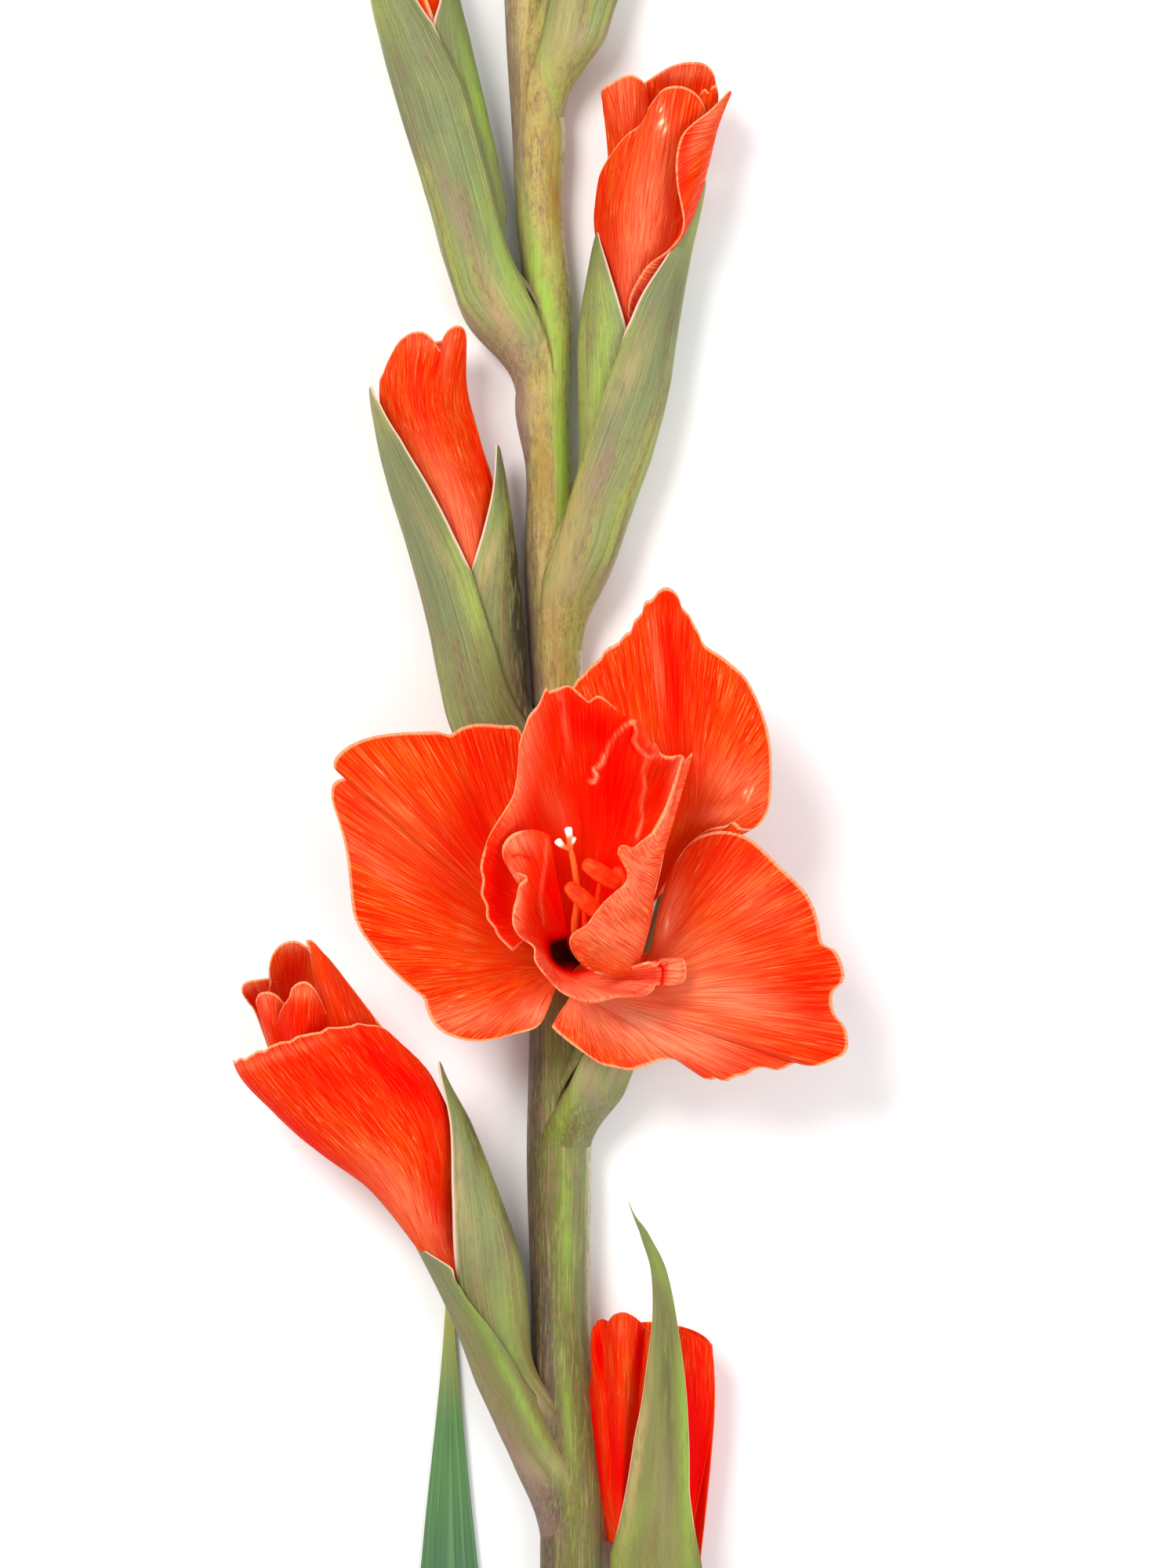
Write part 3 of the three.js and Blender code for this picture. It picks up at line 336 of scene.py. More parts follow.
# Florets: sections are [down, left, right, height of middle, depth share], from the node up.
# Outer and inner are the lines [down, across] of the bracts' front edges, from tip to node, and a
# back is the line [down, angle] of a rear edge, which else mirrors the front one.
FLORETS = {
    "floret_0": dict(
        side=1, mouth=1960,
        sections=[
            [2310, 678, 766, 7.3, 1], [2240, 706, 800, 9, 0.95], [2120, 762, 872, 10.5, 0.85],
            [2000, 776, 896, 11, 0.8], [1911, 768, 908, 11.5, 0.75], [1812, 752, 915, 12, 0.75],
            [1696, 752, 906, 12.5, 0.75], [1600, 762, 880, 13.5, 0.8], [1516, 770, 840, 15, 0.85]],
        outer=[
            [1527, 801], [1545, 806.5], [1563, 814], [1613, 829], [1677, 831], [1736, 824], [1780, 818],
            [1824, 809], [1883, 800], [1944, 788], [1985, 775], [2120, 745], [2300, 690]],
        outer_back=[
            [1527, 97], [1546, 90], [1563, 78], [1613, 65], [1696, 62], [1762, 59], [1845, 57], [1911, 53],
            [1980, 30], [2050, -30], [2120, -80], [2200, -120], [2300, -140]],
        inner=[[1790, 748], [1850, 749], [1950, 764], [2050, 788], [2240, 800]]),
    "floret_1": dict(
        side=-1, mouth=1630,
        sections=[
            [1990, 684, 780, 6.6, 1], [1924, 674, 752, 8.5, 0.95], [1873, 660, 716, 9.5, 0.95],
            [1822, 637, 696, 10, 0.9], [1761, 609, 686, 10.5, 0.85], [1684, 580, 684, 11, 0.8],
            [1603, 541, 674, 12, 0.75], [1518, 494, 646, 13.5, 0.75], [1430, 440, 612, 15, 0.75],
            [1352, 400, 574, 17, 0.75]],
        outer=[
            [1582, 530], [1592, 544], [1603, 562], [1613, 578], [1636, 588], [1705, 638], [1759, 670],
            [1797, 696], [1836, 716], [1876, 728], [1902, 736], [1990, 744]],
        inner=[[1352, 572], [1430, 583], [1520, 579], [1615, 577], [1700, 596], [1800, 640], [1900, 690]]),
    "floret_2": dict(
        side=1, mouth=1100, merge=100,
        sections=[
            [1482, 667, 759, 6.5, 1], [1445, 686, 772, 8, 0.95], [1400, 706, 792, 9, 0.9],
            [1350, 722, 812, 9.5, 0.85], [1280, 738, 836, 9.5, 0.8], [1180, 750, 856, 9.5, 0.75],
            [1080, 762, 868, 9.5, 0.75], [980, 782, 874, 10, 0.75]],
        outer=[
            [980, 870], [1060, 858], [1160, 835], [1260, 802], [1310, 780], [1343, 744], [1420, 712],
            [1482, 690]],
        inner=[[1090, 764], [1160, 764], [1240, 754], [1300, 744], [1440, 735]]),
    "floret_3": dict(
        side=-1, mouth=735,
        sections=[
            [1095, 673, 754, 6.2, 1], [1050, 652, 738, 7.5, 0.95], [990, 610, 702, 8.5, 0.9],
            [927, 576, 682, 9, 0.85], [861, 560, 680, 9.3, 0.8], [787, 545, 676, 9.6, 0.75],
            [694, 520, 667, 9.8, 0.72], [609, 494, 655, 10, 0.72], [539, 479, 641, 10.5, 0.72],
            [495, 473, 630, 11, 0.72]],
        outer=[
            [495, 475], [517, 486], [565, 514], [628, 551], [687, 581], [732, 603], [820, 630], [920, 660],
            [1020, 700], [1095, 728]],
        inner=[[569, 644], [628, 637], [680, 621], [730, 602], [800, 590], [900, 600], [1040, 668]]),
    "floret_4": dict(
        side=1, mouth=440,
        sections=[
            [862, 669, 748, 6.2, 1], [812, 682, 752, 7.5, 0.95], [765, 694, 764, 8.5, 0.92],
            [710, 712, 786, 9, 0.9], [657, 722, 804, 9.3, 0.85], [587, 730, 829, 9.6, 0.8],
            [502, 729, 851, 9.8, 0.75], [431, 729, 862, 10, 0.72], [332, 744, 879, 10.5, 0.72],
            [232, 766, 899, 11.5, 0.72]],
        outer=[
            [232, 897], [285, 876], [330, 850], [380, 818], [425, 797], [521, 765], [587, 743], [646, 725],
            [765, 704], [862, 700]],
        inner=[[299, 753], [340, 768], [380, 784], [425, 800], [500, 806], [600, 786], [790, 720]]),
    "floret_5": dict(
        side=-1, mouth=60, slim=0.35,
        sections=[
            [526, 652, 732, 5.9, 1], [490, 632, 718, 7, 0.95], [440, 606, 700, 8, 0.9],
            [390, 586, 684, 8.5, 0.85], [325, 565, 664, 8.8, 0.8], [249, 544, 652, 9, 0.78],
            [149, 513, 631, 9, 0.75], [50, 486, 608, 9.2, 0.75], [-20, 471, 590, 9.6, 0.75],
            [-80, 461, 572, 10, 0.75]],
        outer=[
            [-80, 463], [-40, 490], [0, 528], [36, 554], [116, 593], [220, 622], [330, 648], [430, 670],
            [526, 706]],
        inner=[[-62, 582], [-20, 574], [10, 566], [36, 556], [120, 560], [260, 590], [470, 668]]),
    "floret_6": dict(
        side=1, mouth=-140, shut=130,
        sections=[
            [176, 648, 728, 5.7, 1], [139, 660, 740, 7, 0.95], [99, 674, 754, 7.8, 0.9],
            [50, 686, 772, 8.2, 0.85], [0, 694, 788, 8.6, 0.8], [-100, 710, 818, 8.8, 0.76],
            [-200, 730, 836, 9, 0.74], [-280, 754, 840, 9.4, 0.74], [-330, 790, 838, 9.8, 0.74]],
        outer=[
            [-330, 834], [-280, 800], [-220, 772], [-160, 746], [-60, 714], [0, 701], [50, 692], [130, 681],
            [176, 676]],
        inner=[[-320, 800], [-300, 809], [-240, 813], [-150, 806], [-60, 796], [110, 716]]),
}

# Closed young florets toward the tip: [node, length, half width, lean]
YOUNG = [
    [-96, 465, 56, 0.23], [-310, 430, 51, 0.21], [-500, 385, 46, 0.19], [-665, 340, 40, 0.17],
    [-815, 295, 34, 0.15], [-945, 250, 29, 0.13], [-1055, 205, 24, 0.12], [-1165, 165, 18, 0.02]]
FIRST_YOUNG = 7

# Their half width by share of the length, and the front edges of their bracts: (share of the
# length, share of the half width)
SWELL = [[0, 0.62], [0.12, 0.74], [0.3, 0.9], [0.5, 1], [0.75, 0.92], [0.88, 0.68], [1, 0.3]]
YOUNG_SECTIONS = (0.1, 0.22, 0.4, 0.6, 0.8, 0.9, 1)
YOUNG_OUTER = [
    (1, 0.85), (0.97, 0.3), (0.9, -0.05), (0.75, -0.2), (0.6, -0.35), (0.35, -0.55), (0.12, -0.6),
    (0, -0.2)]
YOUNG_INNER = [(0.97, -0.5), (0.93, 0.2), (0.85, 0.4), (0.7, 0.45), (0.5, 0.4), (0.3, 0.2), (0.12, -0.1)]
YOUNG_MOUTH = 0.72
YOUNG_SHUT = 0.26
YOUNG_ROOT_ROOM = 5
YOUNG_OVERLAP = 10
YOUNG_DEPTH = 0.82
YOUNG_HEIGHT = 0.78
YOUNG_RAISE = 0.8
YOUNG_OVER_STEM = 1.5


def young_floret(order, node, length, half_width, lean):
    """A closed floret that leans off the stem, on either side in turn."""
    side = -1 if order % 2 == 0 else 1
    centre, stem_half = lookup(STEM, node)
    stem_height = float(stem_at(node)[2])
    root = stem_half + YOUNG_ROOT_ROOM
    sections = [[node, centre - root, centre + root, stem_height, 1]]
    apart = (half_width - YOUNG_OVERLAP) * clamp(lean * 10)
    for share in YOUNG_SECTIONS:
        width = half_width * float(lookup(SWELL, share)[0])
        middle = centre + side * (share * length * lean + apart * ease(share * 3))
        height = max(width * MM_PER_UNIT * YOUNG_HEIGHT + YOUNG_RAISE, stem_height + YOUNG_OVER_STEM)
        sections.append([node - share * length, middle - width, middle + width, height, YOUNG_DEPTH])

    def line(edge):
        margin = []
        for share, across in edge:
            down = node - share * length
            left, right = lookup(sections, down)[:2]
            margin.append([down, (left + right) / 2 + side * across * ((right - left) / 2)])
        return margin

    return dict(
        young=True, side=side, mouth=node - length * YOUNG_MOUTH, sections=sections,
        shut=length * YOUNG_SHUT, outer=line(YOUNG_OUTER), inner=line(YOUNG_INNER))


for order, numbers in enumerate(YOUNG):
    FLORETS[f"floret_{order + FIRST_YOUNG}"] = young_floret(order, *numbers)

# Bracts: how they merge into the stem at the node and fit into one another, with reaches in
# drawing units and insets in mm
FOOT_REACH = 90
FOOT_REACH_AT_MARGIN = 230
FOOT_SUNK = 0.6
INNER_FOOT_SHARE = 0.32
INNER_SHARE = 0.95
SHUT_SHARE = 0.99
SHUT_INSET = 0.5
SLIM_FROM = 210
SLIM_OVER = 110
ROW_POWER = 1.15
REAR_LIMIT = -0.96
FRONT_LIMIT = 0.998
FOOT_TONE_FROM = 1.1
FOOT_TONE_OVER = 190
MOUTH_OVER = 60
# Bracts read the stem's side only up to this share, which keeps the painted highlight of the stem's right
# edge off their feet
SIDE_LIMIT = 0.7


def bract(floret, which, cells):
    """A leafy sheath round its floret, from the node to its own tip."""
    margin, back = floret[which], floret.get(f"{which}_back")
    tip, foot = margin[0][0], margin[-1][0]
    u, v = shares(*cells)
    down = mix(foot, tip, 1 - (1 - u) ** ROW_POWER)
    left, right, middle, depth = columns_of(floret["sections"], down)
    centre = (left + right) / 2
    half = (right - left) / 2
    shut = floret.get("shut", 0)
    if which == "outer":
        side, inset, slim, foot_reach = floret["side"], 0, 1, FOOT_REACH
    else:
        side = -floret["side"]
        inset = SHUT_INSET if shut else SHEET + GAP
        slim = mix(1, floret.get("slim", 1), ease((down - foot + SLIM_FROM) / SLIM_OVER))
        slim = slim * (SHUT_SHARE if shut else INNER_SHARE)
        foot_reach = max(FOOT_REACH, INNER_FOOT_SHARE * (foot - tip))
    across = lookup(margin, down)[..., 0]
    front = np.arccos(clamp((across - centre) / (side * half), REAR_LIMIT, FRONT_LIMIT))
    rear = np.radians(lookup(back, down)[..., 0]) if back else -front
    angle = mix(rear, front, v)
    radius = half * MM_PER_UNIT * slim - inset
    stem_x, stem_radius, stem_z = stem_at(down)
    reach_at_margin = max(foot_reach, floret.get("merge", FOOT_REACH_AT_MARGIN))
    snug = 1 - ease((foot - down) / (shut or mix(foot_reach, reach_at_margin, v**2)))
    reach = mix(radius, stem_radius - FOOT_SUNK, snug)
    rise = mix(radius * depth + inset * (depth - 1), (stem_radius - FOOT_SUNK) * FLAT, snug)
    x = mix(to_x(centre), stem_x, snug) + side * reach * np.cos(angle)
    z = mix(middle, stem_z, snug) + rise * np.sin(angle)
    return np.stack([x, to_y(down), np.maximum(z, BRACT_HALF)], axis=-1)


# Rolled wraps of buds. Sections are [reach, middle, half width, height of middle, depth share]
# along the bud's line. Angles go from the right edge (0) over the front (a quarter turn) to the
# left edge (half a turn). The rim gives the wrap's reach by share of a turn, and free the angle
# of its free edge.
ROLLS = {
    "floret_1_outer_petals": dict(
        origin=(585, 1634), direction=(-0.51, -0.86), root=-10, turn=7.6, pitch=1.6, wave=0.015,
        sections=[
            [-20, 0, 13, 13, 0.8], [20, 1, 20, 13.4, 0.8], [62, 3, 29, 14, 0.8],
            [161, 26, 66, 16, 0.7], [241, 17, 90, 18.5, 0.62], [300, 4, 96, 21, 0.6],
            [383, -6, 99, 24, 0.6], [480, 8, 70, 27, 0.7]],
        rim=[[0, 240], [0.04, 290], [0.078, 329], [0.115, 345], [0.2, 364], [0.3, 379], [0.4, 385],
             [0.48, 388], [0.56, 380], [0.7, 350], [0.85, 300], [1, 240]],
        free=[[0, 5.2], [1, 5.0]]),
    "floret_5_outer_petals": dict(
        origin=(0, 0), direction=(0, -1), root=-120, turn=7.4, pitch=1.5, wave=0.03,
        sections=[
            [-130, 571, 26, 9, 0.8], [-80, 558, 34, 9.2, 0.8], [-30, 546, 38, 9.4, 0.8],
            [20, 536, 36, 9.8, 0.8], [90, 522, 26, 10.2, 0.85]],
        rim=[[0, 66], [0.15, 84], [0.25, 70], [0.35, 88], [0.5, 60], [0.75, 80], [1, 66]],
        free=[[0, 1.0], [1, 1.7]]),
}
ROLL_FRILL = 1.3
FRILL_WAVES = 17
FINE_FRILL_WAVES = 31
FLARE_WAVES = 5


def roll(wrap, cells):
    """A petal wrap rolled round the bud's own line."""
    ax, ay = wrap["direction"]
    u, v = shares(*cells)
    angle = lookup(wrap["free"], u)[..., 0] + v * wrap["turn"]
    reach = lookup(wrap["rim"], np.mod(angle, 2 * np.pi) / (2 * np.pi))[..., 0]
    frill = np.sin(angle * FRILL_WAVES) + 0.6 * np.sin(angle * FINE_FRILL_WAVES + 1)
    reach = reach + ROLL_FRILL * u**4 * frill
    along = mix(wrap["root"], reach, u)
    middle, half, height, depth = columns_of(wrap["sections"], along)
    flare = 1 + wrap["wave"] * u**4 * np.sin(angle * FLARE_WAVES)
    radius = half * MM_PER_UNIT
    tuck = wrap["pitch"] * v
    across = middle + ((radius - tuck) * flare * np.cos(angle)) / MM_PER_UNIT
    x = wrap["origin"][0] + along * ax - across * ay
    y = wrap["origin"][1] + along * ay + across * ax
    z = height + (radius * depth - tuck) * flare * np.sin(angle)
    return np.stack([to_x(x), to_y(y), np.maximum(z, PETAL_HALF)], axis=-1)


# Open floret: its tube of [across, down, height, radius], from the bracts to the throat
TUBE = [
    [766, 1405, 10, 2.2], [770, 1350, 11, 2.3], [767, 1300, 14.5, 2.8], [754, 1254, 19.5, 4.2],
    [740, 1218, 26, 6.2]]
LINE_STEP = 0.02


def off_line(line, t):
    """Directions across and upward off a line of [across, down, height, radius]."""
    ahead = at(curve(line, t + LINE_STEP)[..., :3]) - at(curve(line, t - LINE_STEP)[..., :3])
    ahead /= np.linalg.norm(ahead, axis=-1, keepdims=True)
    up = np.cross(ahead, [1.0, 0, 0])
    up /= np.linalg.norm(up, axis=-1, keepdims=True)
    return np.cross(up, ahead), up


def tube_ring(share, angle, inset):
    share = share * np.ones_like(angle)
    p = curve(TUBE, share)
    across, up = off_line(TUBE, share)
    radius = (p[..., 3] - inset)[..., None]
    return at(p[..., :3]) + radius * (np.cos(angle)[..., None] * across + np.sin(angle)[..., None] * up)


# Petals: waves toward the margin, a crest beside it, creases that start past the neck, and ridges
RUFFLE_WAVES = 46
BUD_RUFFLE = 0.25
BUD_RUFFLE_WAVES = 30
CREASE_FROM = 0.35
CREASE_POWER = 0.8
MARGIN_SAMPLES = 2001


def margin_share(margin, spot):
    """Share of the way along a margin at its point nearest to a spot of the drawing."""
    gaps = np.linalg.norm(np.asarray(margin, float)[:, :2] - spot, axis=1)
    ways = np.linspace(0, 1, MARGIN_SAMPLES)
    return float(np.interp(np.argmin(gaps) / (len(margin) - 1), evenly(margin, ways), ways))


def frills(u, v, size, waves):
    """Small waves that grow toward the margin."""
    total = u**6 * np.sin(v * waves) + 0.5 * u**8 * np.sin(v * waves * 2.3 + 1)
    return size * (total + 0.3 * u**10 * np.sin(v * waves * 3.7)) * np.sin(np.pi * v)


def petal(shape, cells):
    """Petal from its claw in the throat over its neck and its crest to its margin."""
    u, v = shares(*cells)
    margin = shape["margin"]
    angle = np.radians(mix(*shape["claw"], v))
    claws = [tube_ring(share, angle, shape["inset"]) for share in sorted({shape["depth"], 1})]
    bend = at(curve(shape["neck"], v))
    edge = at(curve(margin, evenly(margin, v)))
    middle = mix(bend, edge, 0.5)
    middle[..., 2] += shape["bow"] * np.sin(np.pi * v)
    stations = [*claws, bend, middle, edge]
    if "curl" in shape:
        inward, lift, drop = columns_of(shape["curl"], v)
        crest = mix(edge, middle, inward[..., None])
        crest[..., 2] += lift
        edge[..., 2] -= drop
        stations.insert(-1, crest)
    grid = spread(stations, u)
    grid[..., 2] += frills(u, v, shape["ruffle"], RUFFLE_WAVES)
    past_neck = np.sin(np.pi * clamp((u - CREASE_FROM) / (1 - CREASE_FROM)) ** CREASE_POWER)
    for spot, width, sunk in shape["creases"]:
        line = np.exp(-(((v - margin_share(margin, spot)) / width) ** 2))
        grid[..., 2] -= sunk * line * past_neck
    for ridge in shape.get("ridges", ()):
        grid[..., 2] += ridge[-1] * shades(grid, [[*ridge[:-1], 1]])
    return grid


def bud_petal(lines, cells):
    """Petal of a bud through lines of [across, down, height] from its root to its margin."""
    u, v = shares(*cells)
    stations = [at(curve(line, v)) for line in lines[:-1]]
    stations.append(at(curve(lines[-1], evenly(lines[-1], v))))
    grid = spread(stations, u)
    grid[..., 2] += frills(u, v, BUD_RUFFLE, BUD_RUFFLE_WAVES)
    return grid


# Open petals: the claw's angles round the throat and its inset and depth in the tube, then lines of
# [across, down, height] for the neck and the margin. Creases are (place on the margin, width,
# depth in mm), curls [share of the margin, inward, lift, drop] and ridges shades with a height.
OPEN_PETALS = {
    "top": dict(
        claw=(10, 120), inset=0, depth=1, bow=3.5, ruffle=1,
        creases=[((848, 753), 0.05, 1.6), ((951, 870), 0.03, -0.6), ((765, 842), 0.03, -0.5)],
        neck=[[846, 1135, 27], [868, 1090, 28], [868, 1060, 28.5], [800, 1060, 28.5], [724, 1120, 27]],
        margin=[
            [838, 1140, 28], [862, 1100, 28.6], [882, 1072, 30], [905, 1056, 32.4], [925, 1052, 33],
            [934, 1046, 32], [942, 1055, 32], [958, 1056, 31], [970, 1046, 31], [978, 1030, 31],
            [981, 1004, 31.5], [981, 975, 32], [978, 940, 32.4], [968, 905, 32.8], [951, 870, 33],
            [935, 853, 33.4], [918, 839, 34], [896, 824, 34], [889, 808, 34], [882, 797, 34.4],
            [877, 786, 34], [868, 778, 34], [863, 763, 34.6], [856, 755, 35], [847, 752, 35],
            [838, 757, 34.6], [831, 767, 34], [821, 771, 34], [818, 785, 34], [809, 793, 33.6],
            [804, 807, 33.4], [795, 812, 33], [789, 821, 33], [773, 830, 33], [765, 842, 32.6],
            [755, 849, 32.4], [744, 862, 32], [733, 874, 32], [702, 940, 30], [702, 1030, 29],
            [712, 1110, 27]]),
    "left": dict(
        claw=(120, 245), inset=0, depth=1, bow=4, ruffle=1,
        creases=[
            ((450, 991), 0.02, 0.9), ((575, 938), 0.025, 0.8), ((473, 1200), 0.04, 0.8),
            ((542, 1270), 0.03, 0.9), ((515, 935), 0.04, -0.7), ((444, 1081), 0.05, -0.8)],
        neck=[[700, 1140, 25.5], [676, 1180, 26], [684, 1222, 25.5], [712, 1252, 24]],
        margin=[
            [706, 1130, 26], [684, 1060, 28], [672, 990, 30], [664, 932, 31], [640, 926, 32],
            [611, 924, 32.3], [590, 929, 32], [575, 938, 31], [562, 934, 31.8], [547, 934, 31.5],
            [515, 935, 30.5], [483, 939, 29.5], [458, 947, 28.8], [441, 957, 28.4], [431, 968, 28],
            [430, 980, 27.6], [450, 991, 26.8], [436, 994, 27.6], [428, 1000, 28], [427, 1021, 27.4],
            [436, 1050, 27], [444, 1081, 27], [449, 1120, 27], [453, 1159, 27.3], [461, 1182, 27.5],
            [473, 1200, 27.8], [490, 1222, 28], [510, 1242, 28], [530, 1260, 27.6], [542, 1270, 27],
            [546, 1284, 27.4], [552, 1298, 27.6], [562, 1310, 27.4], [576, 1318, 27.2], [593, 1323, 27],
            [611, 1325, 27], [635, 1322, 26.8], [657, 1316, 26.7], [680, 1310, 26.4], [692, 1300, 25.8],
            [698, 1283, 25.2], [701, 1266, 24.6]]),
    "right": dict(
        claw=(245, 370), inset=0, depth=1, bow=4, ruffle=1.2,
        creases=[
            ((1062, 1292), 0.03, 1.0), ((1046, 1201), 0.03, 0.9), ((887, 1357), 0.03, 0.8),
            ((1076, 1338), 0.03, -0.7), ((827, 1354), 0.04, -0.8), ((992, 1104), 0.05, -0.8)],
        neck=[[730, 1262, 24], [760, 1272, 25], [796, 1256, 27], [830, 1214, 28]],
        margin=[
            [730, 1284, 23.5], [722, 1296, 24], [704, 1305, 24], [716, 1318, 24.6], [731, 1330, 25],
            [748, 1342, 25.4], [767, 1354, 26], [786, 1358, 26.6], [805, 1361, 27.2], [827, 1354, 28],
            [850, 1347, 28], [872, 1349, 28.4], [887, 1357, 28.8], [893, 1368, 28.4], [903, 1373, 28.8],
            [914, 1371, 28.6], [924, 1375, 28.2], [938, 1368, 28.8], [951, 1366, 28.4], [960, 1359, 29],
            [976, 1358, 29], [992, 1361, 28.6], [1011, 1352, 29], [1027, 1355, 28.6], [1043, 1354, 29],
            [1061, 1347, 28.2], [1076, 1338, 28], [1078, 1320, 28.4], [1074, 1306, 28], [1062, 1292, 28.6],
            [1058, 1276, 29], [1060, 1261, 29], [1071, 1250, 28.6], [1073, 1236, 29], [1063, 1211, 29.4],
            [1046, 1201, 30], [1041, 1176, 30], [1034, 1154, 30.6], [1024, 1136, 31], [1008, 1119, 31.5],
            [992, 1104, 32], [972, 1084, 32.6], [951, 1067, 33], [920, 1059, 33], [890, 1066, 32.5],
            [870, 1084, 32], [855, 1110, 31.5], [847, 1134, 31], [848, 1156, 30.6], [852, 1174, 30.2],
            [844, 1196, 29.6]]),
    "hood": dict(
        claw=(20, 215), inset=1.15, depth=0.82, bow=-6, ruffle=0.5,
        curl=[
            [0, 0.1, 0.2, 0], [0.24, 0.1, 0.3, 0], [0.3, 0.14, 1.0, 0.8], [0.45, 0.1, 0.8, 0.4],
            [0.54, 0.24, 1.0, 0.8], [0.66, 0.3, 1.6, 2.4], [0.76, 0.26, 1.4, 2.2], [0.86, 0.1, 0.2, 0],
            [1, 0.1, 0, 0]],
        creases=[
            ((698, 884), 0.03, -1.2), ((763, 891), 0.02, 0.9), ((812, 923), 0.025, -1.0),
            ((850, 965), 0.02, 0.8)],
        ridges=[
            [781, 956, 44, 5, 124, 1.2], [819, 1010, 50, 5, 97, 1.0], [719, 915, 40, 5, 80, -0.7],
            [741, 985, 70, 9, 100, 0.7], [700, 960, 70, 8, 95, 0.8]],
        neck=[[800, 1170, 32], [800, 1105, 33], [748, 1080, 32], [690, 1120, 33], [678, 1190, 32]],
        margin=[
            [822, 1180, 34], [838, 1120, 38], [852, 1050, 42], [866, 1000, 45], [872, 976, 47],
            [867, 964, 49], [852, 966, 48.8], [841, 962, 49.6], [835, 950, 51], [827, 948, 50],
            [820, 932, 51.4], [812, 923, 50.6], [795, 916, 50.8], [779, 902, 50], [763, 891, 51],
            [751, 897, 48.8], [741, 888, 50.4], [726, 877, 49.4], [712, 880, 50.8], [700, 884, 50],
            [697, 880, 51], [688, 900, 51.2], [676, 915, 50.8], [670, 932, 51.6], [664, 952, 51.2],
            [662, 982, 51.6], [657, 1012, 51.2], [644, 1036, 50.6], [630, 1058, 49.2], [621, 1080, 47.6],
            [616, 1103, 46], [619, 1120, 45.6], [617, 1138, 44.6], [623, 1152, 44.2], [624, 1168, 43],
            [633, 1180, 42.6], [638, 1191, 41.6], [656, 1210, 40]]),
    "lip": dict(
        claw=(130, 318), inset=2.3, depth=0.86, bow=-3.5, ruffle=0.4,
        curl=[
            [0, 0.2, 0.4, 0.2], [0.12, 0.4, 1.2, 2.2], [0.24, 0.34, 1.0, 2.0], [0.34, 0.14, 0.7, 0.5],
            [0.6, 0.2, 1.0, 0.8], [0.85, 0.24, 1.2, 1.4], [1, 0.3, 0.8, 1.2]],
        creases=[((674, 1104), 0.03, 1.0), ((682, 1205), 0.03, 0.7), ((742, 1270), 0.04, -0.6)],
        ridges=[
            [694, 1120, 50, 4, 96, 0.8], [672, 1092, 16, 5, 40, -0.8], [668, 1150, 26, 5, 90, 0.7],
            [720, 1244, 24, 4, 35, 0.6], [770, 1258, 30, 4, 0, 0.5], [846, 1236, 16, 3, 100, -0.9]],
        neck=[[722, 1180, 34], [694, 1190, 34], [700, 1224, 33], [734, 1246, 32], [772, 1240, 33]],
        margin=[
            [702, 1064, 45], [686, 1058, 47], [670, 1058, 48.8], [655, 1063, 49.4], [645, 1074, 49.4],
            [643, 1086, 48.6], [648, 1100, 47.6], [662, 1110, 47.2], [673, 1116, 47.6], [664, 1126, 48.6],
            [661, 1140, 48], [657, 1156, 47.2], [656, 1174, 47], [664, 1190, 46.6], [682, 1204, 45.4],
            [684, 1222, 45], [700, 1244, 43.6], [718, 1262, 42.2], [742, 1272, 41.4], [760, 1274, 41.2],
            [784, 1268, 41.8], [800, 1267, 41.6], [818, 1266, 41.6], [831, 1259, 41.8], [837, 1249, 39],
            [846, 1252, 37.2], [860, 1252, 36], [871, 1247, 35.4], [873, 1234, 35.8], [870, 1221, 36.6],
            [856, 1219, 37.6], [843, 1221, 38.6], [836, 1228, 41.4], [826, 1222, 43]]),
    "fold": dict(
        claw=(-36, 44), inset=2.3, depth=0.86, bow=1.0, ruffle=0.25,
        curl=[
            [0, 0.3, 1.6, 1.6], [0.3, 0.24, 1.2, 1.0], [0.6, 0.3, 1.0, 1.0], [0.8, 0.3, 0.2, 0.4],
            [1, 0.3, 0, 0]],
        creases=[((788, 1086), 0.05, -0.8), ((750, 1170), 0.06, 0.5)],
        ridges=[
            [812, 1100, 36, 4, 128, 0.7], [806, 1126, 40, 4, 130, -0.6], [800, 1148, 44, 4, 135, 0.6],
            [784, 1176, 44, 4, 150, -0.5], [776, 1200, 40, 4, 165, 0.5]],
        neck=[
            [780, 1241, 36], [808, 1230, 38], [824, 1186, 42], [834, 1120, 45.5], [852, 1052, 48.5],
            [872, 980, 50]],
        margin=[
            [758, 1236, 42], [745, 1228, 43.4], [734, 1216, 44.6], [728, 1203, 45.8], [728, 1192, 46.8],
            [735, 1184, 48], [748, 1176, 50], [760, 1160, 51.4], [772, 1146, 52.6], [790, 1130, 54],
            [799, 1118, 54.8], [797, 1104, 55], [788, 1088, 55], [790, 1078, 55], [797, 1077, 54.8],
            [806, 1080, 54.6], [816, 1072, 54.8], [830, 1060, 54.6], [842, 1040, 54.2], [852, 1014, 53.6],
            [862, 984, 52], [868, 966, 51]]),
}
WHORL = ("top", "left", "right")


def tube(cells):
    """The tube's columns meet the claws of the three outer petals one by one."""
    rows, columns = cells
    turns = [np.radians(mix(*OPEN_PETALS[name]["claw"], np.arange(columns) / columns)) for name in WHORL]
    angles = np.concatenate([*turns, [turns[0][0]]])
    u, _ = shares(rows, len(angles) - 1)
    return tube_ring(u, np.broadcast_to(angles, u.shape), 0)


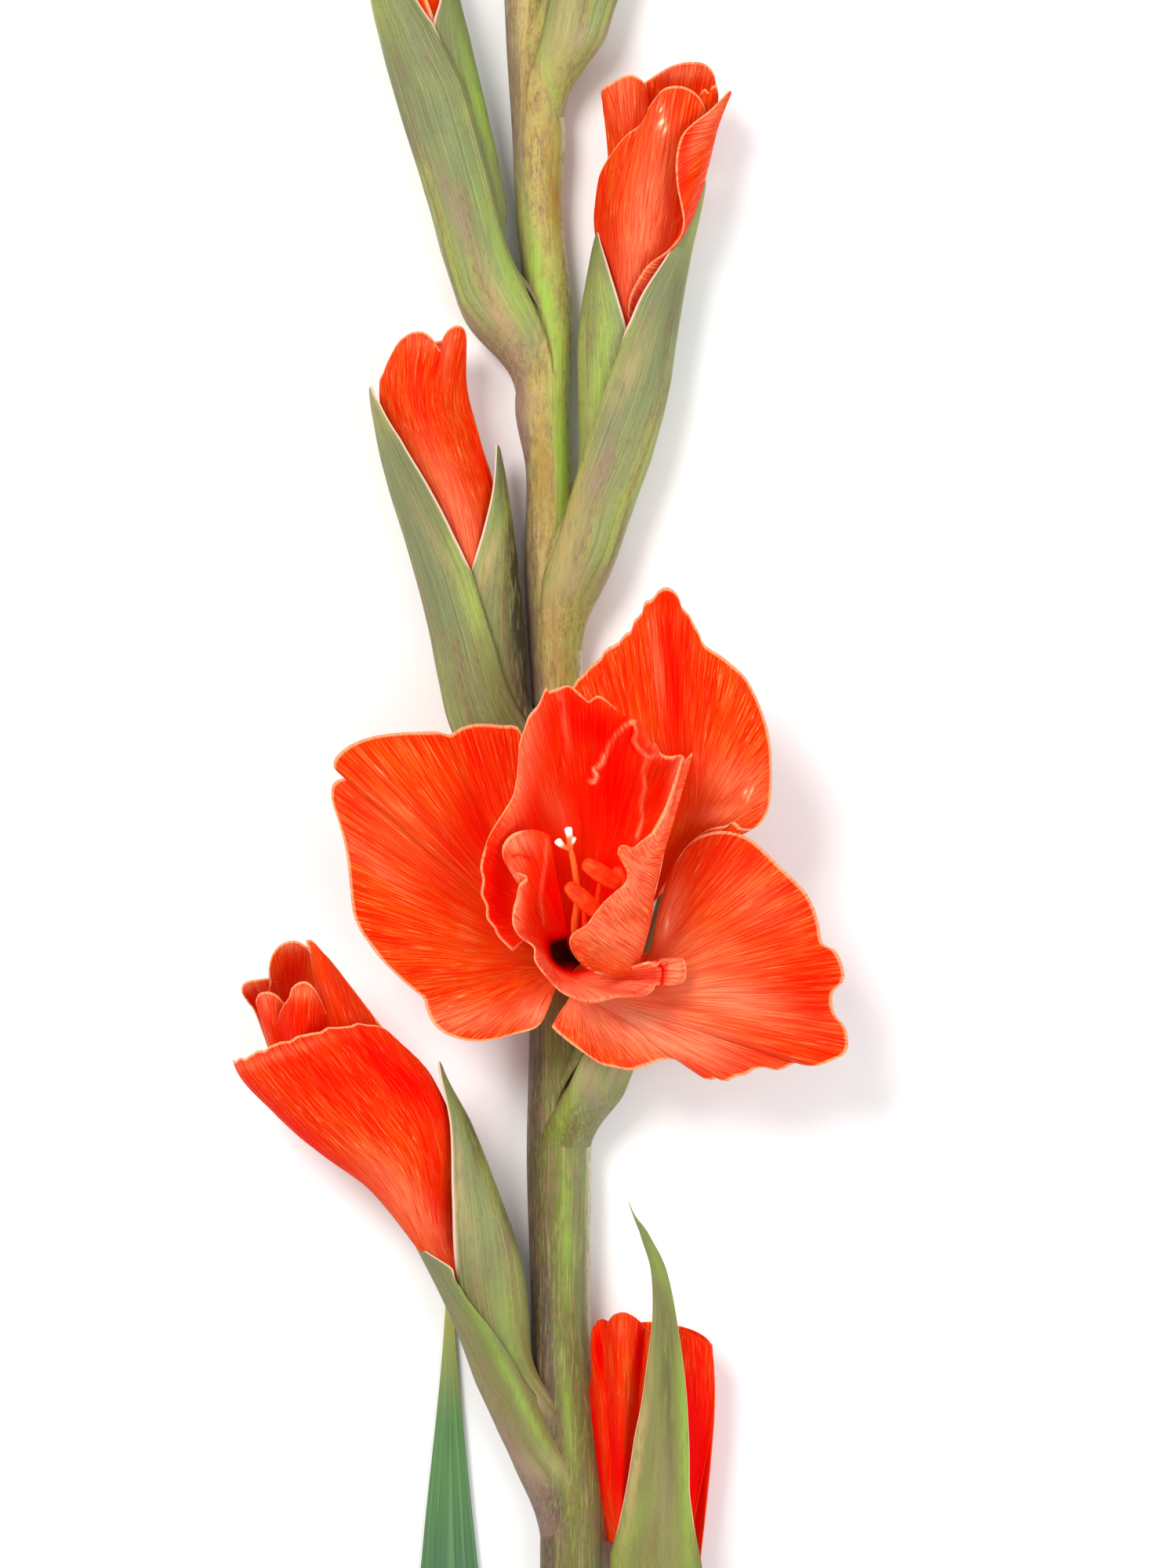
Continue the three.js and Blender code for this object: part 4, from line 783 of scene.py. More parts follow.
def rod(line, cells, flat=1.0, groove=0.0, white=0.0):
    """Round rod along a line of [across, down, height, radius], with grooves along it if asked."""
    rows, sides = cells
    t = np.linspace(0, 1, rows + 1)
    p = curve(line, t)
    places = at(p[:, :3])
    across, up = off_line(line, t)
    angle = np.linspace(0, 2 * np.pi, sides, endpoint=False)
    ends = np.sqrt(clamp(1 - (2 * t - 1) ** 8, 0.02, 1))
    radius = (p[:, 3] * ends)[:, None] * (1 - groove * np.cos(angle * 2)[None, :] ** 8)
    rings = (places[:, None, :]
             + (radius * np.cos(angle))[..., None] * across[:, None, :]
             + flat * (radius * np.sin(angle))[..., None] * up[:, None, :])
    length = np.linalg.norm(np.diff(places, axis=0), axis=1).sum()
    girth = float(p[:, 3].mean()) * 2 * np.pi
    row, column = shares(rows, sides)
    return loft_mesh(rings, on_grid(column * girth, row * length), on_grid(0.0, row, white))


# Stamens: a thin filament from the throat, then the long anther
STAMENS = {
    "stamen_1": (
        [[752, 1222, 25, 0.5], [757, 1180, 36, 0.5], [766, 1114, 43.6, 0.45]],
        [[744, 1098, 46, 1.2], [766, 1112, 44.5, 1.75], [789, 1128, 43, 1.2]]),
    "stamen_2": (
        [[744, 1232, 25, 0.5], [746, 1200, 35, 0.5], [745, 1146, 42.8, 0.45]],
        [[723, 1126, 45, 1.2], [744, 1145, 43.6, 1.75], [765, 1165, 42, 1.2]]),
    "stamen_3": (
        [[752, 1204, 24, 0.5], [764, 1176, 32, 0.5], [790, 1128, 38, 0.45]],
        [[786, 1104, 39.6, 1.1], [792, 1130, 38.6, 1.6], [794, 1154, 37, 1.1]]),
}
ANTHER_GROOVE = 0.3

# Style with three short flattened lobes at its tip
STYLE = [
    [736, 1216, 25, 0.75], [733, 1180, 34, 0.7], [737, 1141, 40.2, 0.65], [733, 1105, 45.6, 0.6],
    [727, 1076, 49.8, 0.5]]
LOBES = [
    [[727, 1082, 49.4, 0.45], [729, 1074, 50, 0.6], [731, 1066, 50.6, 0.8]],
    [[727, 1082, 49.4, 0.45], [718, 1077, 50.4, 0.6], [711, 1070, 51.2, 0.8]],
    [[727, 1082, 49.4, 0.45], [727, 1067, 50.8, 0.6], [725, 1054, 51.6, 0.8]]]
LOBE_FLAT = 0.8

# Deep red places, partly painted shade, and pale places, partly painted highlight: rows of [across, down,
# half length, half width, turn, weight]
# Past a weight of about 1.05 the deep red turns to painted dark shade
DEEP_RED_AND_SHADE = {
    "top": [
        [857, 868, 125, 20, 86, 1], [882, 860, 100, 22, 80, 0.6], [868, 975, 60, 30, 90, 0.75],
        [790, 885, 70, 34, -50, 0.4], [850, 765, 30, 18, 90, 0.7]],
    "left": [
        [606, 1050, 120, 40, 108, 0.8], [628, 960, 60, 44, 120, 0.6], [452, 1020, 60, 24, 70, 0.45],
        [560, 940, 60, 14, 0, 0.3], [640, 1190, 70, 30, 60, 0.5], [520, 1210, 60, 20, 45, 0.3]],
    "right": [
        [900, 1098, 90, 36, -18, 0.6], [1030, 1270, 70, 44, 80, 0.7], [930, 1350, 110, 22, -10, 0.65],
        [985, 1190, 70, 30, 50, 0.45], [1052, 1330, 30, 26, 0, 0.6], [760, 1235, 40, 30, 0, 0.8]],
    "hood": [
        [778, 1010, 130, 60, 95, 1], [760, 930, 100, 40, 25, 1], [840, 1010, 60, 14, 105, 0.7],
        [634, 1130, 80, 28, 85, 1], [700, 1100, 90, 40, 80, 0.9], [776, 1120, 60, 60, 0, 1]],
    "lip": [[708, 1150, 90, 22, 80, 1], [742, 1222, 70, 16, 25, 0.9], [690, 1180, 60, 12, 70, 0.7]],
    "fold": [[846, 1060, 40, 8, 105, 0.3], [836, 1150, 60, 8, 105, 0.6]],
    "floret_0_outer_petals": [
        [765, 1720, 50, 8, 85, 1.2], [814, 1720, 60, 8, 92, 1.2], [786, 1850, 130, 20, 85, 1.05],
        [762, 1850, 130, 10, 85, 1.25], [785, 1700, 40, 30, 0, 0.6], [886, 1850, 180, 34, 90, 1.15]],
    "floret_1_outer_petals": [
        [510, 1370, 130, 34, 44, 1], [430, 1370, 100, 50, 20, 0.75], [400, 1450, 140, 18, 42, 0.8],
        [555, 1500, 90, 16, 80, 0.7]],
    "floret_1_inner_petals": [
        [376, 1232, 26, 16, 90, 0.8], [440, 1270, 60, 12, 55, 0.4], [388, 1310, 60, 50, 0, 0.75],
        [330, 1270, 24, 24, 0, 0.6]],
    "floret_3_outer_petals": [
        [556, 470, 24, 5, 105, 1], [540, 520, 70, 26, 75, 0.5], [596, 480, 60, 10, 90, 0.5],
        [616, 590, 50, 9, 70, 0.7]],
    "floret_4_outer_petals": [
        [775, 330, 110, 16, 86, 0.6], [872, 210, 60, 8, 95, 0.8], [876, 300, 40, 8, 100, 0.5],
        [806, 400, 40, 10, 120, 0.7]],
    "floret_4_inner_petals": [[806, 190, 40, 12, 90, 0.6], [860, 128, 40, 16, 0, 0.5]],
}
PALE_AND_HIGHLIGHT = {
    "top": [[838, 850, 60, 6, 84, 0.4], [935, 1000, 50, 30, 20, 0.35], [920, 1035, 34, 12, -10, 0.5]],
    "left": [
        [505, 1050, 90, 34, 35, 0.1], [470, 1090, 60, 12, 40, 0.25], [690, 1290, 30, 20, 0, 0.7],
        [590, 1295, 80, 16, 0, 0.4]],
    "right": [
        [850, 1180, 60, 16, 100, 0.7], [850, 1176, 24, 5, 100, 1.5], [812, 1296, 120, 34, 22, 1.28],
        [900, 1262, 110, 26, 16, 0.8], [880, 1220, 80, 40, 10, 0.35], [960, 1150, 60, 40, 40, 0.2]],
    "hood": [
        [668, 985, 90, 16, 100, 0.5], [719, 915, 40, 4, 80, 0.6], [708, 1030, 34, 14, 60, 0.35],
        [838, 950, 22, 10, 40, 0.5], [862, 985, 40, 8, 100, 0.6]],
    "lip": [
        [660, 1074, 26, 14, 0, 0.6], [740, 1262, 90, 12, 10, 1], [658, 1150, 60, 10, 90, 0.9],
        [818, 1246, 26, 26, 0, 0.8], [856, 1236, 24, 24, 0, 0.9], [686, 1218, 60, 8, 50, 0.7],
        [780, 1250, 70, 20, 4, 0.85]],
    "fold": [[842, 1040, 90, 12, 108, 0.7], [800, 1120, 60, 28, 110, 0.65], [776, 1184, 60, 30, 20, 0.55]],
    "floret_0_outer_petals": [[792, 1690, 16, 8, 90, 0.2]],
    "floret_1_outer_petals": [
        [470, 1540, 130, 8, 42, 0.8], [520, 1530, 80, 24, 50, 0.45], [360, 1340, 70, 6, -18, 0.4]],
    "floret_1_inner_petals": [
        [370, 1202, 26, 8, 0, 0.5], [344, 1270, 26, 12, 60, 0.5], [388, 1262, 26, 10, 0, 0.4],
        [322, 1254, 20, 10, 0, 0.5]],
    "floret_3_outer_petals": [
        [584, 660, 90, 20, 66, 0.6], [572, 440, 40, 5, 95, 0.4], [540, 440, 30, 10, 0, 0.25]],
    "floret_4_outer_petals": [
        [820, 300, 110, 26, 100, 0.6], [842, 170, 40, 18, 100, 0.3], [900, 160, 70, 9, 118, 0.5]],
    "floret_4_inner_petals": [[794, 130, 36, 18, 80, 0.4], [870, 96, 40, 10, 0, 0.5]],
}

# Thin pale lines, partly painted highlight along the hood's torn edge, and thin deep red ones, partly
# painted shadow along flap edges and under that torn edge: rows of [points, half width, weight]
PALE_AND_HIGHLIGHT_LINES = {
    "top": [
        [[[944, 1011], [956, 1008]], 2, 1.8], [[[946, 1019], [955, 1017]], 1.6, 1.6],
        [[[951, 1004], [949, 1024]], 1.5, 0.7]],
    "hood": [
        [[[806, 921], [796, 927], [786, 938], [778, 950], [774, 962]], 2.1, 0.9],
        [[[771, 964], [769, 972], [763, 978]], 2.6, 1.7],
        [[[757, 980], [762, 988], [758, 997], [752, 997]], 2.4, 1.7],
        [[[826, 966], [820, 984], [822, 1004], [817, 1022], [818, 1046], [812, 1066]], 2.2, 0.8],
        [[[806, 921], [812, 934], [808, 946], [816, 956], [826, 966], [840, 962], [858, 968]], 2.4, 0.9]],
    "lip": [
        [[[828, 1222], [838, 1232], [838, 1246], [832, 1260]], 2.2, 1],
        [[[698, 1068], [696, 1100], [690, 1140], [694, 1176]], 1.8, 0.5]],
    "floret_4_outer_petals": [
        [[[840, 143], [844, 152], [842, 160], [848, 170], [847, 178]], 2.2, 1.9],
        [[[842, 160], [838, 168]], 1.8, 1.6]],
}
DEEP_RED_AND_SHADE_LINES = {
    "lip": [
        [[[834, 1219], [844, 1231], [844, 1248], [838, 1262]], 1.7, 1.6],
        [[[848, 1236], [872, 1235]], 1.5, 0.5], [[[802, 1256], [824, 1240]], 1.5, 0.5],
        [[[808, 1264], [830, 1250]], 1.5, 0.5], [[[676, 1092], [664, 1088], [656, 1090]], 2, 0.9]],
    "hood": [
        [[[714, 896], [718, 940], [712, 984]], 2, 0.9], [[[806, 928], [802, 944], [812, 962]], 2, 1.2]],
}

# How bright a petal's thin rim is, a pale margin with a painted highlight along it, and the width over
# which it is dull beside its left end
RIM_SHARES = {"floret_0_outer_petals": 0.55}
DULL_SIDES = {"lip": 0.07}

# Stained places on bracts and stem: spots of mauve, of fresh green, of a warm tone, and of painted shade,
# dark in the slits between bracts and stem
STAINS_AND_SHADE = {
    "stem": (
        [[664, 560, 70, 12, 100, 0.6], [676, 900, 90, 8, 90, 0.5]],
        [
            [692, 372, 115, 13, 77, 0.95], [716, 574, 80, 9, 88, 0.95], [714, 700, 90, 8, 92, 0.8],
            [722, 1560, 130, 8, 89, 0.5], [724, 1800, 100, 7, 85, 0.4]],
        [
            [707, 245, 85, 12, 85, 0.9], [694, 620, 100, 12, 90, 0.8], [676, 130, 60, 12, 90, 0.4],
            [722, 860, 60, 10, 90, 0.4]],
        [[684, 770, 120, 8, 88, 0.6], [682, 1450, 260, 9, 90, 0.5]]),
    "floret_6_outer_bract": (
        [[720, 150, 40, 12, 120, 0.8], [700, 60, 60, 12, 80, 0.3]], [[700, 90, 70, 10, 80, 0.5]],
        [[724, 20, 90, 16, 105, 0.5]], []),
    "floret_5_outer_bract": (
        [[660, 516, 50, 14, 60, 0.7], [582, 272, 60, 9, 68, 0.6]], [[640, 330, 130, 12, 72, 0.45]],
        [[638, 395, 60, 12, 70, 0.6]], [[520, 180, 120, 8, 70, 0.3]]),
    "floret_5_inner_bract": ([], [[610, 130, 120, 14, 76, 0.5]], [], [[628, 120, 110, 7, 78, 0.4]]),
    "floret_4_outer_bract": (
        [[765, 610, 60, 10, 105, 0.45]], [[742, 590, 90, 8, 105, 0.5]],
        [[722, 690, 100, 20, 105, 0.8], [800, 480, 60, 14, 115, 0.5]], [[850, 430, 80, 6, 100, 0.3]]),
    "floret_4_inner_bract": ([], [[765, 480, 110, 12, 98, 0.6]], [[752, 560, 60, 8, 95, 0.4]], []),
    "floret_3_outer_bract": (
        [], [[610, 780, 120, 16, 72, 0.32]], [[492, 520, 40, 10, 60, 0.7], [560, 700, 70, 8, 62, 0.3]],
        [[640, 900, 60, 16, 70, 0.35]]),
    "floret_3_inner_bract": (
        [], [], [[622, 720, 60, 8, 110, 0.7]], [[664, 790, 200, 17, 86, 1.3], [648, 610, 50, 9, 84, 0.8]]),
    "floret_1_outer_bract": (
        [[648, 1860, 150, 24, 64, 0.85]], [[650, 1752, 150, 7, 63, 0.6]], [],
        [[620, 1700, 60, 8, 60, 0.3]]),
    "floret_1_inner_bract": (
        [], [[650, 1700, 90, 14, 80, 0.3]], [[586, 1510, 80, 7, 90, 0.6], [600, 1560, 60, 10, 80, 0.3]],
        [[600, 1430, 70, 12, 72, 0.7], [632, 1520, 90, 8, 66, 0.4]]),
    "floret_0_outer_bract": (
        [[846, 1880, 90, 14, 90, 0.3]],
        [[874, 1850, 200, 9, 88, 0.6], [844, 1620, 60, 8, 70, 0.4], [800, 1960, 60, 12, 110, 0.3]],
        [[812, 1850, 110, 8, 98, 0.7]], [[850, 1760, 120, 10, 88, 0.5]]),
    "floret_2_outer_bract": ([[760, 1400, 40, 12, 60, 0.4]], [[728, 1400, 60, 8, 110, 0.4]], [], []),
}

# Petals of buds that are more than a wrap: lines of [across, down, height] from root to margin
BUD_PETALS = {
    "floret_0_outer_petals": [
        [
            [[790, 1990, 8], [850, 2000, 6], [893, 1985, 9]],
            [[760, 1880, 9], [835, 1880, 4], [905, 1870, 10]],
            [[754, 1790, 10], [830, 1790, 4.5], [911, 1780, 11]],
            [
                [757, 1705, 11], [790, 1690, 8], [830, 1684, 7.5], [870, 1690, 8.5], [895, 1700, 10],
                [907, 1712, 12]]],
        [
            [[806, 1940, 10], [835, 1940, 15], [880, 1960, 9]],
            [[804, 1830, 11], [845, 1830, 17], [904, 1830, 10]],
            [[804, 1750, 12], [845, 1750, 17.5], [910, 1760, 11]],
            [
                [804, 1700, 13], [812, 1684, 15], [828, 1692, 16.6], [850, 1690, 16.6], [880, 1696, 15],
                [906, 1712, 12.2]]],
        [
            [[776, 1962, 7], [787, 1966, 12], [792, 1962, 11]],
            [[761, 1890, 7.5], [778, 1890, 15], [795, 1890, 14]],
            [[752, 1800, 8], [770, 1800, 16], [792, 1800, 13]],
            [
                [756, 1745, 11], [754, 1715, 12], [755, 1695, 13.4], [760, 1684, 14.6], [768, 1678, 15.4],
                [778, 1684, 13.6]]],
        [
            [[785, 1955, 12], [791, 1960, 15], [797, 1955, 13]],
            [[778, 1880, 13], [790, 1880, 18.6], [802, 1880, 14]],
            [[772, 1780, 13], [790, 1775, 21], [812, 1780, 14]],
            [
                [772, 1702, 14], [775, 1684, 17], [783, 1672, 20], [794, 1668, 21.4], [805, 1672, 20.6],
                [815, 1680, 19], [822, 1690, 16]]]],
    "floret_1_inner_petals": [
        [
            [[350, 1350, 15], [385, 1356, 12], [420, 1345, 15]],
            [[345, 1278, 20], [378, 1274, 13.5], [410, 1272, 19]],
            [
                [350, 1252, 25], [348, 1232, 27.6], [353, 1214, 29], [364, 1202, 30], [378, 1198, 30.4],
                [391, 1202, 30], [401, 1213, 29], [407, 1228, 27.4], [410, 1246, 25]]],
        [
            [[350, 1350, 15], [362, 1352, 12.5], [378, 1345, 14]],
            [[330, 1292, 19], [345, 1293, 15], [364, 1286, 16]],
            [
                [322, 1278, 21], [313, 1264, 23], [314, 1254, 24.4], [322, 1249, 25], [334, 1247, 25],
                [346, 1246, 24], [356, 1250, 21.6]]],
        [
            [[440, 1370, 20], [478, 1368, 22], [508, 1350, 16]],
            [[420, 1308, 24], [450, 1302, 27], [484, 1312, 19]],
            [
                [411, 1268, 26], [405, 1246, 28], [402, 1226, 30], [399, 1208, 31], [395, 1197, 31],
                [402, 1197, 30.6], [413, 1209, 29.4], [426, 1224, 27], [442, 1245, 24.6], [460, 1269, 22.4],
                [478, 1292, 20.6], [490, 1308, 19]]],
        [
            [[366, 1390, 18], [380, 1392, 21], [394, 1384, 20]],
            [[341, 1312, 22], [353, 1312, 25.6], [368, 1304, 24]],
            [
                [334, 1288, 23.4], [331, 1274, 24.8], [335, 1265, 25.8], [344, 1262, 26.6], [353, 1264, 27],
                [359, 1268, 27.2], [366, 1276, 26.6]]],
        [
            [[378, 1400, 19], [404, 1404, 24], [436, 1390, 19]],
            [[358, 1326, 23], [388, 1322, 29.6], [424, 1312, 23]],
            [
                [360, 1292, 27], [366, 1279, 29], [374, 1268, 30.4], [377, 1257, 31], [386, 1250, 31.4],
                [395, 1249, 31.4], [404, 1256, 30.6], [412, 1270, 28.8], [419, 1288, 26.4]]]],
    "floret_3_outer_petals": [
        [
            [[594, 742, 8], [606, 746, 7], [616, 742, 8.4]],
            [[558, 655, 8.4], [592, 655, 4], [629, 640, 9]],
            [[508, 575, 8.8], [566, 572, 3.6], [611, 566, 9.6]],
            [[489, 518, 9.2], [546, 512, 4], [596, 512, 10]],
            [
                [489, 494, 9.8], [498, 466, 9.4], [518, 440, 9], [545, 440, 8.6], [570, 434, 8.8],
                [588, 430, 9.6], [593, 468, 10.2]]],
        [
            [[590, 742, 11], [606, 748, 15], [620, 742, 11]],
            [[548, 655, 12], [590, 655, 17.4], [632, 640, 11.6]],
            [[506, 575, 12], [560, 572, 17.8], [614, 566, 11.6]],
            [[487, 520, 11], [544, 510, 17.6], [599, 512, 11.6]],
            [
                [487, 496, 10.6], [486, 486, 11], [490, 479, 11.4], [495, 466, 12.6], [502, 452, 13.4],
                [511, 438, 14.2], [523, 429, 14.8], [536, 426, 15.2], [547, 430, 15.4], [556, 440, 15.6],
                [562, 450, 15.4], [565, 440, 15], [570, 427, 14.6], [580, 419, 14], [590, 420, 13.2],
                [595, 430, 12.4], [595, 450, 11.8], [593, 476, 11.2]]]],
    "floret_4_inner_petals": [
        [
            [[826, 175, 12], [868, 185, 9.5], [914, 170, 12]],
            [[824, 135, 13], [868, 130, 10.5], [914, 134, 13]],
            [
                [822, 110, 14], [836, 101, 15], [848, 94, 15.4], [862, 88, 15.8], [882, 85, 16],
                [899, 88, 15.8], [909, 98, 15], [913, 114, 14]]],
        [
            [[778, 250, 10.6], [804, 246, 13], [832, 240, 14]],
            [[774, 185, 12.4], [800, 176, 15.8], [828, 176, 16]],
            [
                [770, 146, 14.4], [767, 124, 15.8], [769, 118, 16.6], [780, 112, 17.8], [792, 105, 18.6],
                [804, 102, 18.8], [814, 106, 18.4], [823, 114, 17.4], [826, 130, 16.4]]],
        [
            [[880, 185, 15], [894, 180, 17], [912, 170, 15]],
            [[884, 150, 16], [896, 146, 18], [914, 146, 16]],
            [
                [888, 138, 17], [893, 126, 18], [898, 120, 18.6], [903, 124, 18], [908, 117, 18.4],
                [913, 116, 17.6], [915, 128, 16.6]]]],
    "floret_4_outer_petals": [
        [
            [[790, 446, 9], [801, 450, 13], [816, 440, 9]],
            [[770, 360, 10], [799, 350, 15.6], [860, 340, 9.6]],
            [[758, 290, 11], [800, 262, 20], [889, 256, 11]],
            [
                [762, 250, 12.4], [765, 228, 14.4], [776, 207, 16.6], [797, 180, 19], [818, 164, 20.4],
                [828, 143, 21.6], [842, 124, 22.2], [856, 118, 22.4], [873, 119, 22], [888, 128, 21],
                [897, 142, 19.6], [904, 166, 17]]],
        [
            [[812, 432, 8], [864, 330, 8.4], [892, 240, 9.6], [904, 180, 10.4], [923, 135, 12]],
            [[812, 426, 10.6], [872, 318, 11.6], [900, 222, 15], [914, 166, 15.8], [931, 124, 17.2]],
            [[806, 418, 12.6], [858, 330, 14.6], [886, 240, 20.4], [896, 175, 19.6], [930, 122, 18]],
            [
                [801, 408, 14.4], [803, 384, 15.8], [814, 360, 16.4], [828, 341, 16.6], [850, 326, 16.8],
                [867, 308, 18], [871, 288, 19.6], [867, 266, 21], [863, 246, 21], [861, 222, 21.6],
                [863, 198, 22], [870, 178, 22], [884, 164, 21.4], [905, 148, 20.6], [928, 123, 18.6]]]],
}

# Leaves: a sheath round the stem, then a flat blade. Rows are [down, inner edge, outer edge, height]
LEAVES = {
    "leaf_1": dict(
        side=-1, foot=4540, open=3950,
        blade=[
            [3950, 652, 580, 5.4], [3600, 632, 512, 3.6], [3200, 620, 474, 1.6], [2700, 636, 482, 1.4],
            [2250, 636, 516, 1.3], [1950, 604, 545, 1.2], [1660, 578, 572, 1]]),
    "leaf_2": dict(
        side=1, foot=3740, open=3280,
        blade=[
            [3280, 776, 852, 5.6], [3060, 812, 946, 3.8], [2800, 850, 1014, 1.6], [2540, 896, 1042, 1.3],
            [2300, 950, 1058, 1.1], [2060, 1030, 1036, 1]]),
    "leaf_3": dict(
        side=-1, foot=3080, open=2740,
        blade=[
            [2740, 656, 586, 6], [2600, 634, 544, 5.8], [2440, 614, 520, 5.2], [2320, 598, 520, 4.6],
            [2200, 574, 526, 4], [2100, 550, 544, 3.4]]),
}

# How a sheath opens and leaves the stem, in drawing units, and its sizes in mm and radians
OPENING_FROM = 120
FREE_BEFORE = 100
FREE_OVER = 320
SHEATH_ROOM = 0.95
SHEATH_SUNK = 0.4
SHEATH_FOOT = 110
SHEATH_WALL = 0.45
EDGE_ROOM = 0.12
BLADE_HALF = 0.42
SHEATH_TURN = 2.8
OPEN_TURN = 0.9
BLADE_TURN = 1.7
LAY_ACROSS_LEAF = 9


def stain_spots_and_shade(name, grid):
    mauve, fresh, warm, painted_shade = (shades(grid, spots) for spots in STAINS_AND_SHADE.get(name, ([],) * 4))
    return mauve, fresh, warm - painted_shade


def leaf_mesh(leaf, cells):
    """The sheath first opens along one side of the stem, and only then leaves it as a blade."""
    rows, half_sides = cells
    side, foot, open_at = leaf["side"], leaf["foot"], leaf["open"]
    t = np.linspace(0, 1, rows + 1)
    down = mix(foot, leaf["blade"][-1][0], t)
    grown = ease((foot - down) / SHEATH_FOOT)
    opening = ease((foot - down - OPENING_FROM) / (foot - open_at - OPENING_FROM))
    free = ease((open_at + FREE_BEFORE - down) / FREE_OVER)
    stem_x, stem_radius, stem_z = stem_at(down)
    inner, outer, height = columns_of(leaf["blade"], np.minimum(down, open_at))
    room = mix(mix(stem_radius - SHEATH_SUNK, stem_radius + SHEATH_ROOM, grown), EDGE_ROOM, free)
    wall = mix(mix(SHEATH_WALL, SHEET, grown), BLADE_HALF, free)
    half_turn = mix(mix(SHEATH_TURN, OPEN_TURN, opening), BLADE_TURN, free)
    keel = mix(opening**2 * np.abs(to_x(outer) - stem_x - side * stem_radius),
               np.abs(to_x(outer) - to_x(inner)), free)
    middle_x = mix(stem_x, to_x(inner), free)
    middle_z = mix(stem_z, height, free)
    share = np.linspace(1, -1, 2 * half_sides + 1)

    def line(ways, radius, reach):
        angle = ways[None, :] * half_turn[:, None]
        pull = np.maximum(0, np.cos(angle)) ** 2 * reach[:, None]
        x = middle_x[:, None] + side * (radius[:, None] * np.cos(angle) + pull)
        z = middle_z[:, None] + radius[:, None] * np.sin(angle)
        return on_grid(x, to_y(down)[:, None], z)

    rings = np.concatenate([line(share, room + wall, keel), line(-share, room, np.zeros(rows + 1))], axis=1)
    column = np.concatenate([share, -share, share[:1]])
    lay = on_grid((column * LAY_ACROSS_LEAF)[None, :], ((down[0] - down) * MM_PER_UNIT)[:, None])
    tone = on_grid(np.zeros_like(column)[None, :], t[:, None], free[:, None])
    return loft_mesh(rings, lay, tone)


def stem_mesh(cells):
    rows, sides = cells
    down = mix(STEM[0][0], STEM[-1][0], np.linspace(0, 1, rows + 1))
    x, radius, z = stem_at(down)
    angle = np.append(np.linspace(0, 2 * np.pi, sides, endpoint=False), 0)
    seam = on_grid(x[:, None] + radius[:, None] * np.cos(angle), to_y(down)[:, None],
                   z[:, None] + FLAT * radius[:, None] * np.sin(angle))
    turn = np.linspace(0, 1, sides + 1)
    length = (down - down[0]) * MM_PER_UNIT
    lay = on_grid(turn[None, :] * LAY_ROUND_STEM, length[:, None])
    tone = on_grid(np.cos(angle)[None, :], 0.0, 0.0, *stain_spots_and_shade("stem", seam))
    return loft_mesh(seam[:, :-1], lay, tone)


def linear(colour):
    """Linear light of three eight-bit screen values; anything else is a colour already."""
    if not isinstance(colour, tuple) or len(colour) != 3:
        return colour
    value = np.array(colour) / 255
    light = np.where(value <= 0.04045, value / 12.92, ((value + 0.055) / 1.055) ** 2.4)
    return (*light.tolist(), 1.0)


